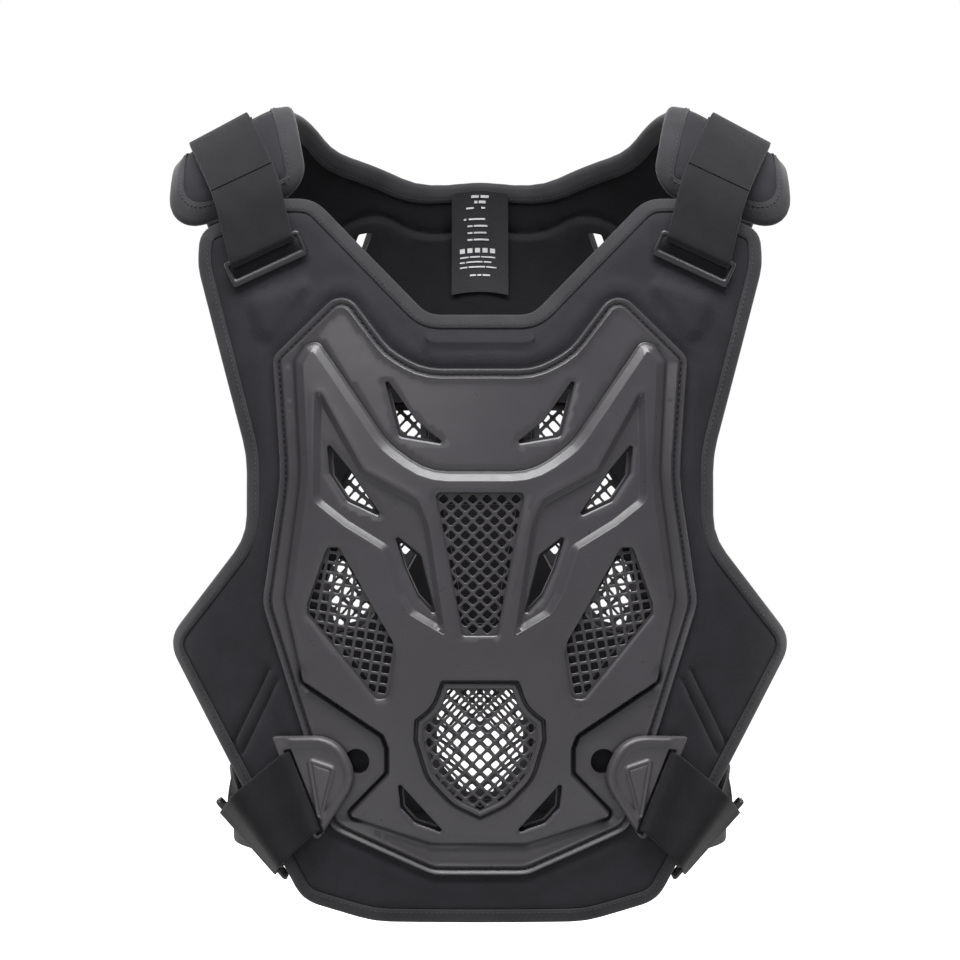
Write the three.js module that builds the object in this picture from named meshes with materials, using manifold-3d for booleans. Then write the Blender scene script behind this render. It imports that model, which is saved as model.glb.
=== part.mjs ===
// Roost deflector: a padded front and back panel, joined over the shoulders and at the waist, with moulded
// shells.
// Millimetres, +Z up, the chest faces -Y. The origin lies where the guard rests on the shoulders, midway between
// the undersides of the two shoulder tabs.
import * as THREE from 'three';
import { mergeVertices } from 'three/addons/utils/BufferGeometryUtils.js';
import Module from 'manifold-3d';

const wasm = await Module();
wasm.setup();

// Torso that the guard is formed to
const torso = {
  chestReach: 112,
  chestArcHalf: 243,
  chestArcDepth: 115,
  collarFlattening: 0.7,
  bellyDrop: 330,
  upperLeanRadius: 1340,
  lowerLeanRadius: 2100,
  shoulderFront: 56,
  shoulderFrontDrop: 62,
  backReach: 128,
  backDrop: 170,
  backArcHalf: 250,
  backArcDepth: 110,
  lumbarDip: 10,
  lumbarHeight: 360,
  shoulderSlope: 0.554,
  shoulderMid: 166,
  neckRounding: 50,
};

// Moulded shells, and the foam that shows above and below the front one
const collar = -56;
const foamMargin = { above: 72.5, below: 35.5, side: 8 };
const shell = { halfWidth: 151.5, height: 411, top: collar - foamMargin.above, wall: 2.5, raise: 4 };
const backShell = { halfWidth: 138, length: 690, wall: 2.5 };

// Padded panels and their edge tape
const panel = {
  halfWidth: 217,
  height: foamMargin.above + shell.height + foamMargin.below,
  top: collar,
  thick: 9,
};
const back = { halfWidth: panel.halfWidth - foamMargin.side, length: 690, thick: 12 };
const tape = { thick: 1.2, gap: 1.6, frontWidth: 10, backWidth: 12 };
const seat = 0.3;

const net = { thick: 1.9, pitch: 19, wire: 2.4, flange: 4, backPitch: 30, backGap: 4, drop: 1.2 };
const windowShrink = 0.84;

// Fastenings
const frameBar = {
  across: 60,
  high: 20,
  thick: 3.6,
  lowBar: 5.4,
  topBar: 3.8,
  sideBar: 3.6,
  tilt: 0.17,
  rise: 0.6,
  round: 3,
};
const shoulderWeb = { width: 49.5, thick: 1.8 };
const hook = {
  thick: 4,
  lift: 1.6,
  rim: 1.5,
  rimWidth: 3.5,
  button: 1.8,
  barWidth: 4.2,
  slotWidth: 5.4,
  slack: 1,
  sink: 1,
};
const stud = { neck: 4, head: 6.5, headThick: 2.4, headGap: 0.8, slack: 0.4, keyRadius: 9, pocketFloor: 2.4 };
const waistWeb = { width: 61, thick: 1.6, tail: 24, bulge: 7, clear: 0.7 };
const sideRing = { across: 77, deep: 24, bar: 3.6, thick: 4, round: 3 };
const label = { width: 45, drop: 81, thick: 1, start: 163, gap: 0.7 };

// Surface detail of the foam
const relief = { padRaise: 2.5, channelDepth: 2, channelWidth: 8 };

// Facets: angles of arcs in radians, the least arc, and the longest edges of the solids
const facet = { arcStep: 0.75, mostSteps: 2, leastReach: 4 };
const longest = { edge: 70, net: 60, shoulder: 15, blades: 22, back: 56, hook: 30, label: 24 };

// Columns are shares of the half width (across), of the height below the top (down) and of the half width
// (round)
function table(names, rows) {
  return rows.map((row) => Object.fromEntries(names.map((name, i) => [name, row[i]])));
}
const corner = ['across', 'down', 'round'];

const panelOutline = table(corner, [
  [0, 0.164, 0], [0.175, 0.164, 0.101], [0.553, 0.001, 0.111], [0.673, 0.001, 0.138], [0.926, 0.044, 0.065],
  [0.933, 0.091, 0.23], [0.763, 0.355, 0.415], [0.763, 0.467, 0.207], [1.035, 0.615, 0.101],
  [0.581, 0.971, 0.111], [0.346, 0.998, 0.369], [0, 1, 0],
]);
const collarPad = table(corner, [
  [0.783, 0.14, 0.03], [0.505, 0.102, 0.03], [0.705, 0.212, 0.03],
]);
const wingChannel = table(corner, [[0.687, 0.651, 0], [0.802, 0.751, 0]]);

const shellOutline = table(corner, [
  [0, 0.129, 0], [0.264, 0.124, 0.396], [0.422, 0.089, 0.264], [0.64, -0.017, 0.092], [0.974, 0.103, 0.079],
  [0.927, 0.31, 0.792], [1.009, 0.529, 0.198], [0.818, 0.758, 0.396], [0.7, 0.921, 0.145], [0.218, 1, 0.132],
  [0, 1, 0],
]);
const raisedOutline = table(corner, [
  [0, 0.304, 0], [0.244, 0.304, 0.079], [0.428, 0.255, 0.079], [0.759, 0.077, 0.02], [0.818, 0.084, 0.026],
  [0.865, 0.111, 0.026], [0.832, 0.31, 0.66], [0.904, 0.519, 0.165], [0.818, 0.665, 0.02], [0.447, 0.757, 0.033],
  [0.424, 0.78, 0.026], [0.424, 0.824, 0.04], [0.614, 0.898, 0.02], [0.218, 0.944, 0.092], [0, 0.944, 0],
]);
const feather = table(corner, [
  [0.766, 0.164, 0.01], [0.769, 0.352, 0.033], [0.627, 0.394, 0.026], [0.446, 0.436, 0.033], [0.376, 0.514, 0.053],
  [0.323, 0.547, 0.033], [0.155, 0.585, 0.01], [0.235, 0.393, 0.198], [0.286, 0.349, 0.053],
  [0.441, 0.318, 0.066], [0.534, 0.299, 0.053], [0.733, 0.167, 0.01],
]);
const upperVent = table(corner, [[0.455, 0.131, 0], [0.301, 0.211, 0], [0.155, 0.256, 0], [0.376, 0.242, 0]]);
const midVent = table(corner, [
  [0.714, 0.248, 0], [0.6, 0.299, 0], [0.447, 0.382, 0], [0.613, 0.353, 0], [0.7, 0.304, 0],
]);
const lowVent = table(corner, [
  [0.399, 0.408, 0], [0.272, 0.445, 0], [0.197, 0.554, 0], [0.285, 0.519, 0], [0.348, 0.468, 0],
]);
const footVent = table(corner, [[0.378, 0.834, 0], [0.153, 0.927, 0], [0.299, 0.908, 0], [0.365, 0.881, 0]]);
const centreOpening = table(corner, [[0.207, 0.338, 0.02], [0.082, 0.584, 0.02]]);
const sideOpening = table(corner, [
  [0.703, 0.431, 0.026], [0.646, 0.431, 0.026], [0.399, 0.593, 0.033], [0.385, 0.616, 0.033],
  [0.417, 0.692, 0.033], [0.475, 0.694, 0.026], [0.793, 0.548, 0.026], [0.793, 0.529, 0.026],
]);
const shieldOpening = table(corner, [
  [0.183, 0.66, 0.026], [0.301, 0.73, 0.026], [0.306, 0.763, 0.04], [0.24, 0.834, 0.106],
  [0.131, 0.878, 0.106], [0, 0.904, 0],
]);
const studPlace = { across: 0.68, down: 0.826 };
const keyholePlace = { across: 0.57, down: 0.803 };
const hookOutline = table(corner, [
  [0.96, 0.762, 0.012], [0.655, 0.757, 0.16], [0.555, 0.83, 0.16], [0.75, 0.945, 0.02], [0.815, 0.9, 0.02],
  [0.945, 0.788, 0.02],
]);
const hookButton = table(corner, [
  [0.79, 0.795, 0.02], [0.65, 0.812, 0.03], [0.715, 0.905, 0.03], [0.745, 0.9, 0.02],
]);
const hookSlot = { topAcross: 0.911, topDown: 0.787, lowAcross: 0.757, lowDown: 0.933 };

// Columns of the back are shares of its half width (across), of its length from the shoulder ridge (along; in
// front of the ridge it is negative), and of the half width (round)
const pattern = ['across', 'along', 'round'];
const backOutline = table(pattern, [
  [0, 0.232, 0], [0.191, 0.232, 0.335], [0.536, 0.133, 0.383], [0.679, 0.014, 0.287], [0.603, -0.143, 0.067],
  [1.081, -0.113, 0.153], [1.062, 0.043, 0.383], [0.909, 0.232, 0.574], [0.761, 0.42, 0.383],
  [0.761, 0.525, 0.191], [1, 0.606, 0.115], [0.727, 0.87, 0.115], [0.297, 0.985, 0.287], [0, 1, 0],
]);
const backShellOutline = table(pattern, [
  [0, 0.29, 0], [0.326, 0.29, 0.145], [0.609, 0.214, 0.058], [0.812, 0.214, 0.072], [1, 0.275, 0.101],
  [0.884, 0.435, 0.58], [1, 0.594, 0.217], [0.812, 0.768, 0.29], [0.58, 0.9, 0.159], [0.217, 0.955, 0.217],
  [0, 0.955, 0],
]);
const backVent = table(pattern, [
  [0.565, 0.241, 0.02], [0.71, 0.232, 0.02], [0.768, 0.261, 0.02], [0.638, 0.275, 0.02],
]);
const backSideOpening = table(pattern, [
  [0.333, 0.472, 0.03], [0.507, 0.458, 0.03], [0.754, 0.517, 0.06], [0.87, 0.597, 0.04], [0.812, 0.678, 0.03],
  [0.667, 0.685, 0.03], [0.435, 0.645, 0.06], [0.319, 0.611, 0.04],
]);
const backLowOpening = table(pattern, [[0.246, 0.789, 0.03], [0.246, 0.88, 0.06], [0.087, 0.925, 0.06]]);

// Shoulder strap, one row for each bend: across and down place its middle line on the front panel, in shares of
// the panel; lift is the height over the foam in thicknesses of the webbing
const strapOnChest = table(['across', 'down', 'lift'], [[0.768, -0.008, 4.0]]);
const strapUnderChest = table(['across', 'down', 'lift'], [[0.768, -0.008, 2.6], [0.752, 0.02, 2.5]]);
// and over the tab: across in shares of the back's half width, along in shares of its length
const strapOnTab = table(['across', 'along', 'lift'], [
  [0.885, -0.03, 2.5], [0.895, 0, 2.4], [0.885, 0.045, 2.1], [0.85, 0.1, 1.5],
  [0.785, 0.16, 1.1], [0.742, 0.195, 1.1],
]);
const strapUnder = table(['across', 'along', 'lift'], [[0.885, -0.02, 0.95], [0.872, -0.05, 0.95]]);
// Waist strap between hook and ring: steps from the hook's bar in shares of the panel, lift in its thicknesses
const strapOverWing = table(['across', 'down', 'lift'], [[0.055, 0.022, 1.9], [0.115, 0.048, 4.75]]);
// and where it lands on the back, in shares of the back, lift in its thicknesses
const anchorOnBack = table(['across', 'along', 'lift'], [
  [0.87, 0.815, 1.9], [0.76, 0.81, 0.4], [0.62, 0.805, 0],
]);

// Form of the torso

function smooth(from, to, value) {
  const t = Math.min(1, Math.max(0, (value - from) / (to - from)));
  return t * t * (3 - 2 * t);
}

function arcDepth(x, half, depth) {
  return depth * (1 - Math.sqrt(1 - Math.min(0.99, (x / half) ** 2)));
}

function chestY(x, z) {
  const flat = 1 - torso.collarFlattening * smooth(-torso.bellyDrop * 1.3, panel.top, z);
  const rise = z + torso.bellyDrop;
  const lean = (rise * rise) / (2 * (rise > 0 ? torso.upperLeanRadius : torso.lowerLeanRadius));
  return arcDepth(x, torso.chestArcHalf, torso.chestArcDepth) * flat + lean - torso.chestReach;
}

// A point of the chest, at the front-view place (x, z) and the height h over the panel's inner face
function onChest(x, z, h) {
  const d = 2;
  const slopeX = (chestY(x + d, z) - chestY(x - d, z)) / (2 * d);
  const slopeZ = (chestY(x, z + d) - chestY(x, z - d)) / (2 * d);
  const outward = new THREE.Vector3(slopeX, -1, slopeZ).normalize();
  return new THREE.Vector3(x, chestY(x, z), z).addScaledVector(outward, h);
}

// The line over the shoulder and down the back, as places {y, drop} at each length from the ridge
const shoulderLine = (() => {
  const front = [];
  const rear = [];
  const turns = 60;
  for (let i = 0; i <= turns; i += 1) {
    const angle = (i / turns) * (Math.PI / 2);
    const [reach, fall] = [Math.sin(angle), 1 - Math.cos(angle)];
    front.push({ y: -torso.shoulderFront * reach, drop: torso.shoulderFrontDrop * fall });
    rear.push({ y: torso.backReach * reach, drop: torso.backDrop * fall });
  }
  const straight = { step: 12, count: 60 };
  for (let i = 1; i <= straight.count; i += 1) {
    const below = i * straight.step;
    const dip = torso.lumbarDip * Math.sin(Math.PI * Math.min(1, below / torso.lumbarHeight)) ** 2;
    front.push({ y: -torso.shoulderFront, drop: torso.shoulderFrontDrop + below });
    rear.push({ y: torso.backReach - dip, drop: torso.backDrop + below });
  }
  for (const run of [front, rear]) {
    let along = 0;
    run.forEach((place, i) => {
      if (i) along += Math.hypot(place.y - run[i - 1].y, place.drop - run[i - 1].drop);
      place.along = along;
    });
  }
  return { front, rear };
})();

function onShoulderLine(along) {
  const run = along < 0 ? shoulderLine.front : shoulderLine.rear;
  const length = Math.abs(along);
  let i = 1;
  while (i < run.length - 1 && run[i].along < length) i += 1;
  const t = (length - run[i - 1].along) / (run[i].along - run[i - 1].along);
  return {
    y: run[i - 1].y + t * (run[i].y - run[i - 1].y),
    drop: run[i - 1].drop + t * (run[i].drop - run[i - 1].drop),
  };
}

function shoulderHeight(x) {
  const round = torso.neckRounding;
  return torso.shoulderSlope * (Math.hypot(torso.shoulderMid, round) - Math.hypot(x, round));
}

function backBase(x, along) {
  const place = onShoulderLine(along);
  const share = Math.max(0, place.y) / torso.backReach;
  const y = place.y - share * arcDepth(x, torso.backArcHalf, torso.backArcDepth);
  return new THREE.Vector3(x, y, shoulderHeight(x) - place.drop);
}

// A point of the back panel, at the cloth place (x, along) and the height h over the panel's inner face
function onBack(x, along, h) {
  const d = 4;
  const acrossRun = backBase(x + d, along).sub(backBase(x - d, along));
  const alongRun = backBase(x, along + d).sub(backBase(x, along - d));
  return backBase(x, along).addScaledVector(acrossRun.cross(alongRun).normalize(), h);
}

// Outlines from tables

function chestRows(rows, size) {
  return rows.map((row) => ({
    u: row.across * size.halfWidth,
    v: size.top - row.down * size.height,
    round: row.round * size.halfWidth,
  }));
}

function backRows(rows, size) {
  return rows.map((row) => ({
    u: row.across * size.halfWidth,
    v: row.along * size.length,
    round: row.round * size.halfWidth,
  }));
}

// A closed outline from its right half, whose first and last rows lie on the middle line
function whole(rows) {
  const inner = rows.slice(1, -1);
  const left = inner.map((row) => ({ ...row, u: -row.u })).reverse();
  return [...inner, ...left];
}

function mirrored(rows) {
  return rows.map((row) => ({ ...row, u: -row.u })).reverse();
}

function turnSign(rows) {
  let area = 0;
  rows.forEach((row, i) => {
    const next = rows[(i + 1) % rows.length];
    area += row.u * next.v - next.u * row.v;
  });
  return Math.sign(area);
}

// Every edge moved inward by a distance, and each corner's radius with it
function inset(rows, distance) {
  const sign = turnSign(rows);
  const count = rows.length;
  return rows.map((row, i) => {
    const before = rows[(i + count - 1) % count];
    const after = rows[(i + 1) % count];
    const a = new THREE.Vector2(row.u - before.u, row.v - before.v).normalize();
    const b = new THREE.Vector2(after.u - row.u, after.v - row.v).normalize();
    const turn = sign * (a.x * b.y - a.y * b.x);
    const miter = new THREE.Vector2(-(a.y + b.y), a.x + b.x).multiplyScalar(sign / (1 + a.dot(b)));
    const round = row.round > 0 ? Math.max(0.3, row.round - Math.sign(turn) * distance) : 0;
    return { u: row.u + miter.x * distance, v: row.v + miter.y * distance, round };
  });
}

function shrunk(rows, share) {
  const middle = rows.reduce((sum, row) => ({ u: sum.u + row.u / rows.length, v: sum.v + row.v / rows.length }),
    { u: 0, v: 0 });
  return rows.map((row) => ({
    u: middle.u + (row.u - middle.u) * share,
    v: middle.v + (row.v - middle.v) * share,
    round: row.round * share,
  }));
}

// Points of the outline, with an arc at each corner
function points(rows) {
  const out = [];
  const count = rows.length;
  rows.forEach((row, i) => {
    const here = new THREE.Vector2(row.u, row.v);
    const before = rows[(i + count - 1) % count];
    const after = rows[(i + 1) % count];
    const toBefore = new THREE.Vector2(before.u, before.v).sub(here);
    const toAfter = new THREE.Vector2(after.u, after.v).sub(here);
    const limit = 0.47 * Math.min(toBefore.length(), toAfter.length());
    toBefore.normalize();
    toAfter.normalize();
    const opening = Math.acos(Math.min(1, Math.max(-1, toBefore.dot(toAfter))));
    const turn = Math.PI - opening;
    const reach = Math.min(row.round * Math.tan(turn / 2), limit);
    if (reach < facet.leastReach) {
      out.push(here);
      return;
    }
    const radius = reach / Math.tan(turn / 2);
    const bisector = toBefore.clone().add(toAfter).normalize();
    const centre = here.clone().addScaledVector(bisector, radius / Math.sin(opening / 2));
    const start = here.clone().addScaledVector(toBefore, reach).sub(centre);
    const outer = here.clone().sub(centre);
    const side = Math.sign(start.x * outer.y - start.y * outer.x);
    const steps = Math.max(1, Math.min(facet.mostSteps, Math.round(turn / facet.arcStep)));
    for (let k = 0; k <= steps; k += 1) {
      const arm = start.clone().rotateAround(new THREE.Vector2(), side * turn * (k / steps));
      out.push(arm.add(centre));
    }
  });
  return out;
}

// Closed bodies

function bare(geometry) {
  geometry.deleteAttribute('normal');
  geometry.deleteAttribute('uv');
  return mergeVertices(geometry, 1e-4);
}

function volume(positions, index) {
  let sum = 0;
  for (let i = 0; i < index.length; i += 3) {
    const [a, b, c] = [index[i], index[i + 1], index[i + 2]].map((k) => new THREE.Vector3(...positions[k]));
    sum += a.dot(b.cross(c));
  }
  return sum / 6;
}

// A solid from points and triangles, its faces turned out
function solid(positions, index) {
  const order = volume(positions, index) < 0 ? index.slice().reverse() : index;
  const mesh = new wasm.Mesh({
    numProp: 3,
    vertProperties: new Float32Array(positions.flat()),
    triVerts: new Uint32Array(order),
  });
  return new wasm.Manifold(mesh);
}

function geometryOf(body) {
  const mesh = body.getMesh();
  const geometry = new THREE.BufferGeometry();
  geometry.setAttribute('position', new THREE.BufferAttribute(new Float32Array(mesh.vertProperties), 3));
  geometry.setIndex(new THREE.BufferAttribute(new Uint32Array(mesh.triVerts), 1));
  return geometry;
}

// Halves every edge longer than the facet, on both of its triangles alike
function divided(positions, index, most) {
  let triangles = index;
  for (;;) {
    const middles = new Map();
    const middle = (a, b) => {
      const p = positions[a];
      const q = positions[b];
      if (Math.hypot(p[0] - q[0], p[1] - q[1], p[2] - q[2]) <= most) return -1;
      const key = a < b ? `${a},${b}` : `${b},${a}`;
      if (!middles.has(key)) {
        middles.set(key, positions.length);
        positions.push([(p[0] + q[0]) / 2, (p[1] + q[1]) / 2, (p[2] + q[2]) / 2]);
      }
      return middles.get(key);
    };
    const next = [];
    for (let i = 0; i < triangles.length; i += 3) {
      let corners = triangles.slice(i, i + 3);
      let cuts = corners.map((from, k) => middle(from, corners[(k + 1) % 3]));
      const count = cuts.filter((cut) => cut >= 0).length;
      while (count && count < 3 && !(cuts[0] >= 0 && (count === 1 || cuts[1] >= 0))) {
        corners = [corners[1], corners[2], corners[0]];
        cuts = [cuts[1], cuts[2], cuts[0]];
      }
      const [a, b, c] = corners;
      const [ab, bc, ca] = cuts;
      if (count === 0) next.push(a, b, c);
      if (count === 1) next.push(a, ab, c, ab, b, c);
      if (count === 2) next.push(ab, b, bc, a, ab, bc, a, bc, c);
      if (count === 3) next.push(a, ab, ca, ab, b, bc, ca, bc, c, ab, bc, ca);
    }
    triangles = next;
    if (!middles.size) return triangles;
  }
}

// A flat outline extruded from height h0 to h1 and laid on a form
function block(rows, h0, h1, form, most = longest.edge) {
  const shape = new THREE.Shape(points(rows));
  const flat = bare(new THREE.ExtrudeGeometry(shape, { depth: h1 - h0, bevelEnabled: false }));
  const place = flat.getAttribute('position');
  const positions = [];
  for (let i = 0; i < place.count; i += 1) positions.push([place.getX(i), place.getY(i), place.getZ(i) + h0]);
  const index = divided(positions, Array.from(flat.getIndex().array), most);
  return solid(positions.map(([u, v, h]) => form(u, v, h).toArray()), index);
}

// Even steps from one value to another, no longer than a facet
function steps(from, to, most) {
  const count = Math.max(1, Math.ceil((to - from) / most - 1e-6));
  return Array.from({ length: count + 1 }, (_, i) => from + (i / count) * (to - from));
}

// Places across a width, closer together toward its ends
function fanned(half, count, fan) {
  const turn = (i) => Math.sin((i / count - 0.5) * fan) / Math.sin(fan / 2);
  return Array.from({ length: count + 1 }, (_, i) => turn(i) * half);
}

// A sheet of even thickness that covers a rectangle of the form, with facets between chosen columns and rows
function sheet(form, us, vs, h0, h1) {
  const positions = [];
  const index = [];
  const [columns, rowsCount] = [us.length - 1, vs.length - 1];
  const at = (level, i, j) => (level * (rowsCount + 1) + j) * (columns + 1) + i;
  for (const h of [h0, h1]) {
    for (const v of vs) {
      for (const u of us) positions.push(form(u, v, h).toArray());
    }
  }
  const quad = (a, b, c, d) => index.push(a, b, c, a, c, d);
  for (let j = 0; j < rowsCount; j += 1) {
    for (let i = 0; i < columns; i += 1) {
      quad(at(1, i, j), at(1, i + 1, j), at(1, i + 1, j + 1), at(1, i, j + 1));
      quad(at(0, i, j), at(0, i, j + 1), at(0, i + 1, j + 1), at(0, i + 1, j));
    }
  }
  for (let i = 0; i < columns; i += 1) {
    quad(at(0, i, 0), at(0, i + 1, 0), at(1, i + 1, 0), at(1, i, 0));
    quad(at(0, i + 1, rowsCount), at(0, i, rowsCount), at(1, i, rowsCount), at(1, i + 1, rowsCount));
  }
  for (let j = 0; j < rowsCount; j += 1) {
    quad(at(0, 0, j + 1), at(0, 0, j), at(1, 0, j), at(1, 0, j + 1));
    quad(at(0, columns, j), at(0, columns, j + 1), at(1, columns, j + 1), at(1, columns, j));
  }
  return solid(positions, index);
}

const slack = 5;
const columnsAcross = { count: 12, chestFan: 2.7, backFan: 2.6 };
const overhang = 0.027 * panel.height;
const chestColumns = fanned(panel.halfWidth * 1.09, columnsAcross.count, columnsAcross.chestFan);
const chestRowsAt = steps(panel.top - panel.height - overhang, panel.top + overhang, longest.back);
const chestSheet = (h0, h1) => sheet(onChest, chestColumns, chestRowsAt, h0, h1);
const backColumns = fanned(back.halfWidth * 1.14, columnsAcross.count, columnsAcross.backFan);
const nape = back.length * 0.12;
const blades = back.length * 0.34;
const backRowsAt = [
  ...steps(-back.length * 0.165, nape, longest.shoulder),
  ...steps(nape, blades, longest.blades).slice(1),
  ...steps(blades, back.length * 1.03, longest.back).slice(1),
];
const backSheet = (h0, h1) => sheet(onBack, backColumns, backRowsAt, h0, h1);

function cutFrom(layer, form, rows, h0, h1) {
  return layer(h0, h1).intersect(block(rows, h0 - slack, h1 + slack, form));
}

function through(body, form, rowsList, h0, h1) {
  return rowsList.reduce((left, rows) => left.subtract(block(rows, h0, h1, form)), body);
}

function bothSides(rows) {
  return [rows, mirrored(rows)];
}

// Net: a plate with a lattice of square gaps, turned by an angle, inside a plain border
function netPlate(form, rows, h0, pitch, angle) {
  const h1 = h0 + net.thick;
  const border = inset(rows, -net.flange);
  const inner = inset(rows, net.wire / 2);
  const outline = points(inner);
  const box = new THREE.Box2().setFromPoints(outline);
  const middle = box.getCenter(new THREE.Vector2());
  const reach = Math.ceil(box.getSize(new THREE.Vector2()).length() / pitch / 2) + 1;
  const half = (pitch - net.wire) / 2;
  const smallest = (pitch - net.wire) ** 2 * 0.3;
  const plain = (u, v, h) => new THREE.Vector3(u, v, h);
  const window = block(inner, h0 - 1, h1 + 1, plain, Infinity);
  let plate = block(border, h0, h1, plain, Infinity);
  for (let i = -reach; i <= reach; i += 1) {
    for (let j = -reach; j <= reach; j += 1) {
      const corners = [[-half, -half], [half, -half], [half, half], [-half, half]].map(([a, b]) => {
        const arm = new THREE.Vector2(i * pitch + a, j * pitch + b).rotateAround(new THREE.Vector2(), angle);
        return { u: middle.x + arm.x, v: middle.y + arm.y, round: 0 };
      });
      const gap = block(corners, h0 - 1, h1 + 1, plain, Infinity).intersect(window);
      if (!gap.isEmpty() && gap.volume() > smallest * (net.thick + 2)) plate = plate.subtract(gap);
    }
  }
  return laid(plate, form);
}

// A flat solid laid on a form, with its long edges divided
function laid(flat, form) {
  const mesh = flat.getMesh();
  const positions = [];
  for (let i = 0; i < mesh.vertProperties.length; i += 3) {
    positions.push(Array.from(mesh.vertProperties.slice(i, i + 3)));
  }
  const index = divided(positions, Array.from(mesh.triVerts), longest.net);
  return solid(positions.map(([u, v, h]) => form(u, v, h).toArray()), index);
}

// Webbing: stations of middle point and cross direction, joined by four flat sides. Where it twists, both faces
// fold along the same diagonal, chosen by the way that the cross direction turns, so its thickness stays even.
const lookout = new THREE.Vector3(0.3, -0.8, 0.5);
function band(stations, width, thick, closed) {
  const positions = [];
  const index = [];
  const count = stations.length;
  stations.forEach((station, i) => {
    const before = stations[closed ? (i + count - 1) % count : Math.max(0, i - 1)].at;
    const after = stations[closed ? (i + 1) % count : Math.min(count - 1, i + 1)].at;
    const run = after.clone().sub(before);
    const face = new THREE.Vector3().crossVectors(station.across, run).normalize();
    for (const [side, level] of [[-0.5, -0.5], [0.5, -0.5], [0.5, 0.5], [-0.5, 0.5]]) {
      const place = station.at.clone().addScaledVector(station.across, side * width);
      positions.push(place.addScaledVector(face, level * thick).toArray());
    }
  });
  const spans = closed ? count : count - 1;
  for (let i = 0; i < spans; i += 1) {
    const next = (i + 1) % count;
    const twist = stations[next].across.clone().sub(stations[i].across).dot(lookout);
    for (let k = 0; k < 4; k += 1) {
      const turn = (k + 1) % 4;
      const [a, b, c, d] = [4 * i + k, 4 * next + k, 4 * next + turn, 4 * i + turn];
      if ((twist > 0) === (k === 0)) index.push(a, b, c, a, c, d);
      else index.push(a, b, d, b, c, d);
    }
  }
  if (!closed) {
    const last = 4 * (count - 1);
    index.push(0, 1, 2, 0, 2, 3, last, last + 2, last + 1, last, last + 3, last + 2);
  }
  return solid(positions, index);
}

// Stations between chosen ones, on smooth curves
function between(stations, count) {
  const line = new THREE.CatmullRomCurve3(stations.map((station) => station.at), false, 'centripetal');
  const cross = new THREE.CatmullRomCurve3(stations.map((station) => station.across), false, 'centripetal');
  const out = [];
  for (let i = 0; i <= count; i += 1) {
    const t = i / count;
    out.push({ at: line.getPoint(t), across: cross.getPoint(t).normalize() });
  }
  return out;
}

// Half a turn round a bar: from a start arm, about the bar's own direction
function halfTurn(centre, arm, axis, sides, turn = Math.PI) {
  const out = [];
  for (let i = 0; i <= sides; i += 1) {
    const swung = arm.clone().applyAxisAngle(axis, (i / sides) * turn);
    out.push({ at: centre.clone().add(swung), across: axis.clone() });
  }
  return out;
}

// A rectangular ring of plastic, laid out by its own three directions
function ringBody(size, place, acrossAxis, highAxis) {
  const half = size.across / 2;
  const outer = [[-half, 0], [half, 0], [half, size.high], [-half, size.high]];
  const inner = [
    [-half + size.sideBar, size.lowBar], [half - size.sideBar, size.lowBar],
    [half - size.sideBar, size.high - size.topBar], [-half + size.sideBar, size.high - size.topBar],
  ];
  const rowsOf = (list, round) => list.map(([u, v]) => ({ u, v, round }));
  const shape = new THREE.Shape(points(rowsOf(outer, size.round)));
  shape.holes.push(new THREE.Path(points(rowsOf(inner, size.round / 3))));
  const flat = bare(new THREE.ExtrudeGeometry(shape, { depth: size.thick, bevelEnabled: false }));
  const thickAxis = new THREE.Vector3().crossVectors(acrossAxis, highAxis).normalize();
  flat.applyMatrix4(new THREE.Matrix4().makeBasis(acrossAxis, highAxis, thickAxis).setPosition(place));
  const at = flat.getAttribute('position');
  const positions = [];
  for (let i = 0; i < at.count; i += 1) positions.push([at.getX(i), at.getY(i), at.getZ(i)]);
  return solid(positions, Array.from(flat.getIndex().array));
}

function disc(u, v, radius, h0, h1) {
  const sides = 8;
  const rows = Array.from({ length: sides }, (_, i) => {
    const angle = (i / sides) * 2 * Math.PI;
    return { u: u + radius * Math.cos(angle), v: v + radius * Math.sin(angle), round: 0 };
  });
  return block(rows, h0, h1, onChest);
}

// A straight slot between two places of the form
function slotRows(from, to, width) {
  const run = new THREE.Vector2(to.u - from.u, to.v - from.v).normalize();
  const side = new THREE.Vector2(-run.y, run.x).multiplyScalar(width / 2);
  return [[from, 1], [to, 1], [to, -1], [from, -1]].map(([end, sign]) => ({
    u: end.u + side.x * sign,
    v: end.v + side.y * sign,
    round: 0,
  }));
}

// Heights over the inner face of the front panel
const level = {};
level.foam = panel.thick;
level.shellBack = level.foam + seat;
level.shellFace = level.shellBack + shell.wall;
level.raisedBack = level.shellBack + shell.raise;
level.raisedFace = level.raisedBack + shell.wall;
level.netBack = level.raisedBack - net.drop - net.thick;
level.hookBack = level.shellFace + hook.lift;
level.hookFace = level.hookBack + hook.thick;

const chestEdge = whole(chestRows(panelOutline, panel));
const shellEdge = whole(chestRows(shellOutline, shell));
const raisedEdge = whole(chestRows(raisedOutline, shell));
const featherEdges = bothSides(chestRows(feather, shell));
const ventEdges = [upperVent, midVent, lowVent, footVent].flatMap((rows) => bothSides(chestRows(rows, shell)));
const centreRows = chestRows(centreOpening, shell);
const centreEdge = [...centreRows, ...mirrored(centreRows)];
const sideEdges = bothSides(chestRows(sideOpening, shell));
const shieldRows = chestRows(shieldOpening, shell);
const shieldEdge = [...shieldRows, ...mirrored(shieldRows.slice(0, -1))];
const netEdges = [centreEdge, shieldEdge, ...sideEdges];

const placeOnShell = (place) => ({ u: place.across * shell.halfWidth, v: shell.top - place.down * shell.height });
const studAt = placeOnShell(studPlace);
const keyholeAt = placeOnShell(keyholePlace);

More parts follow.
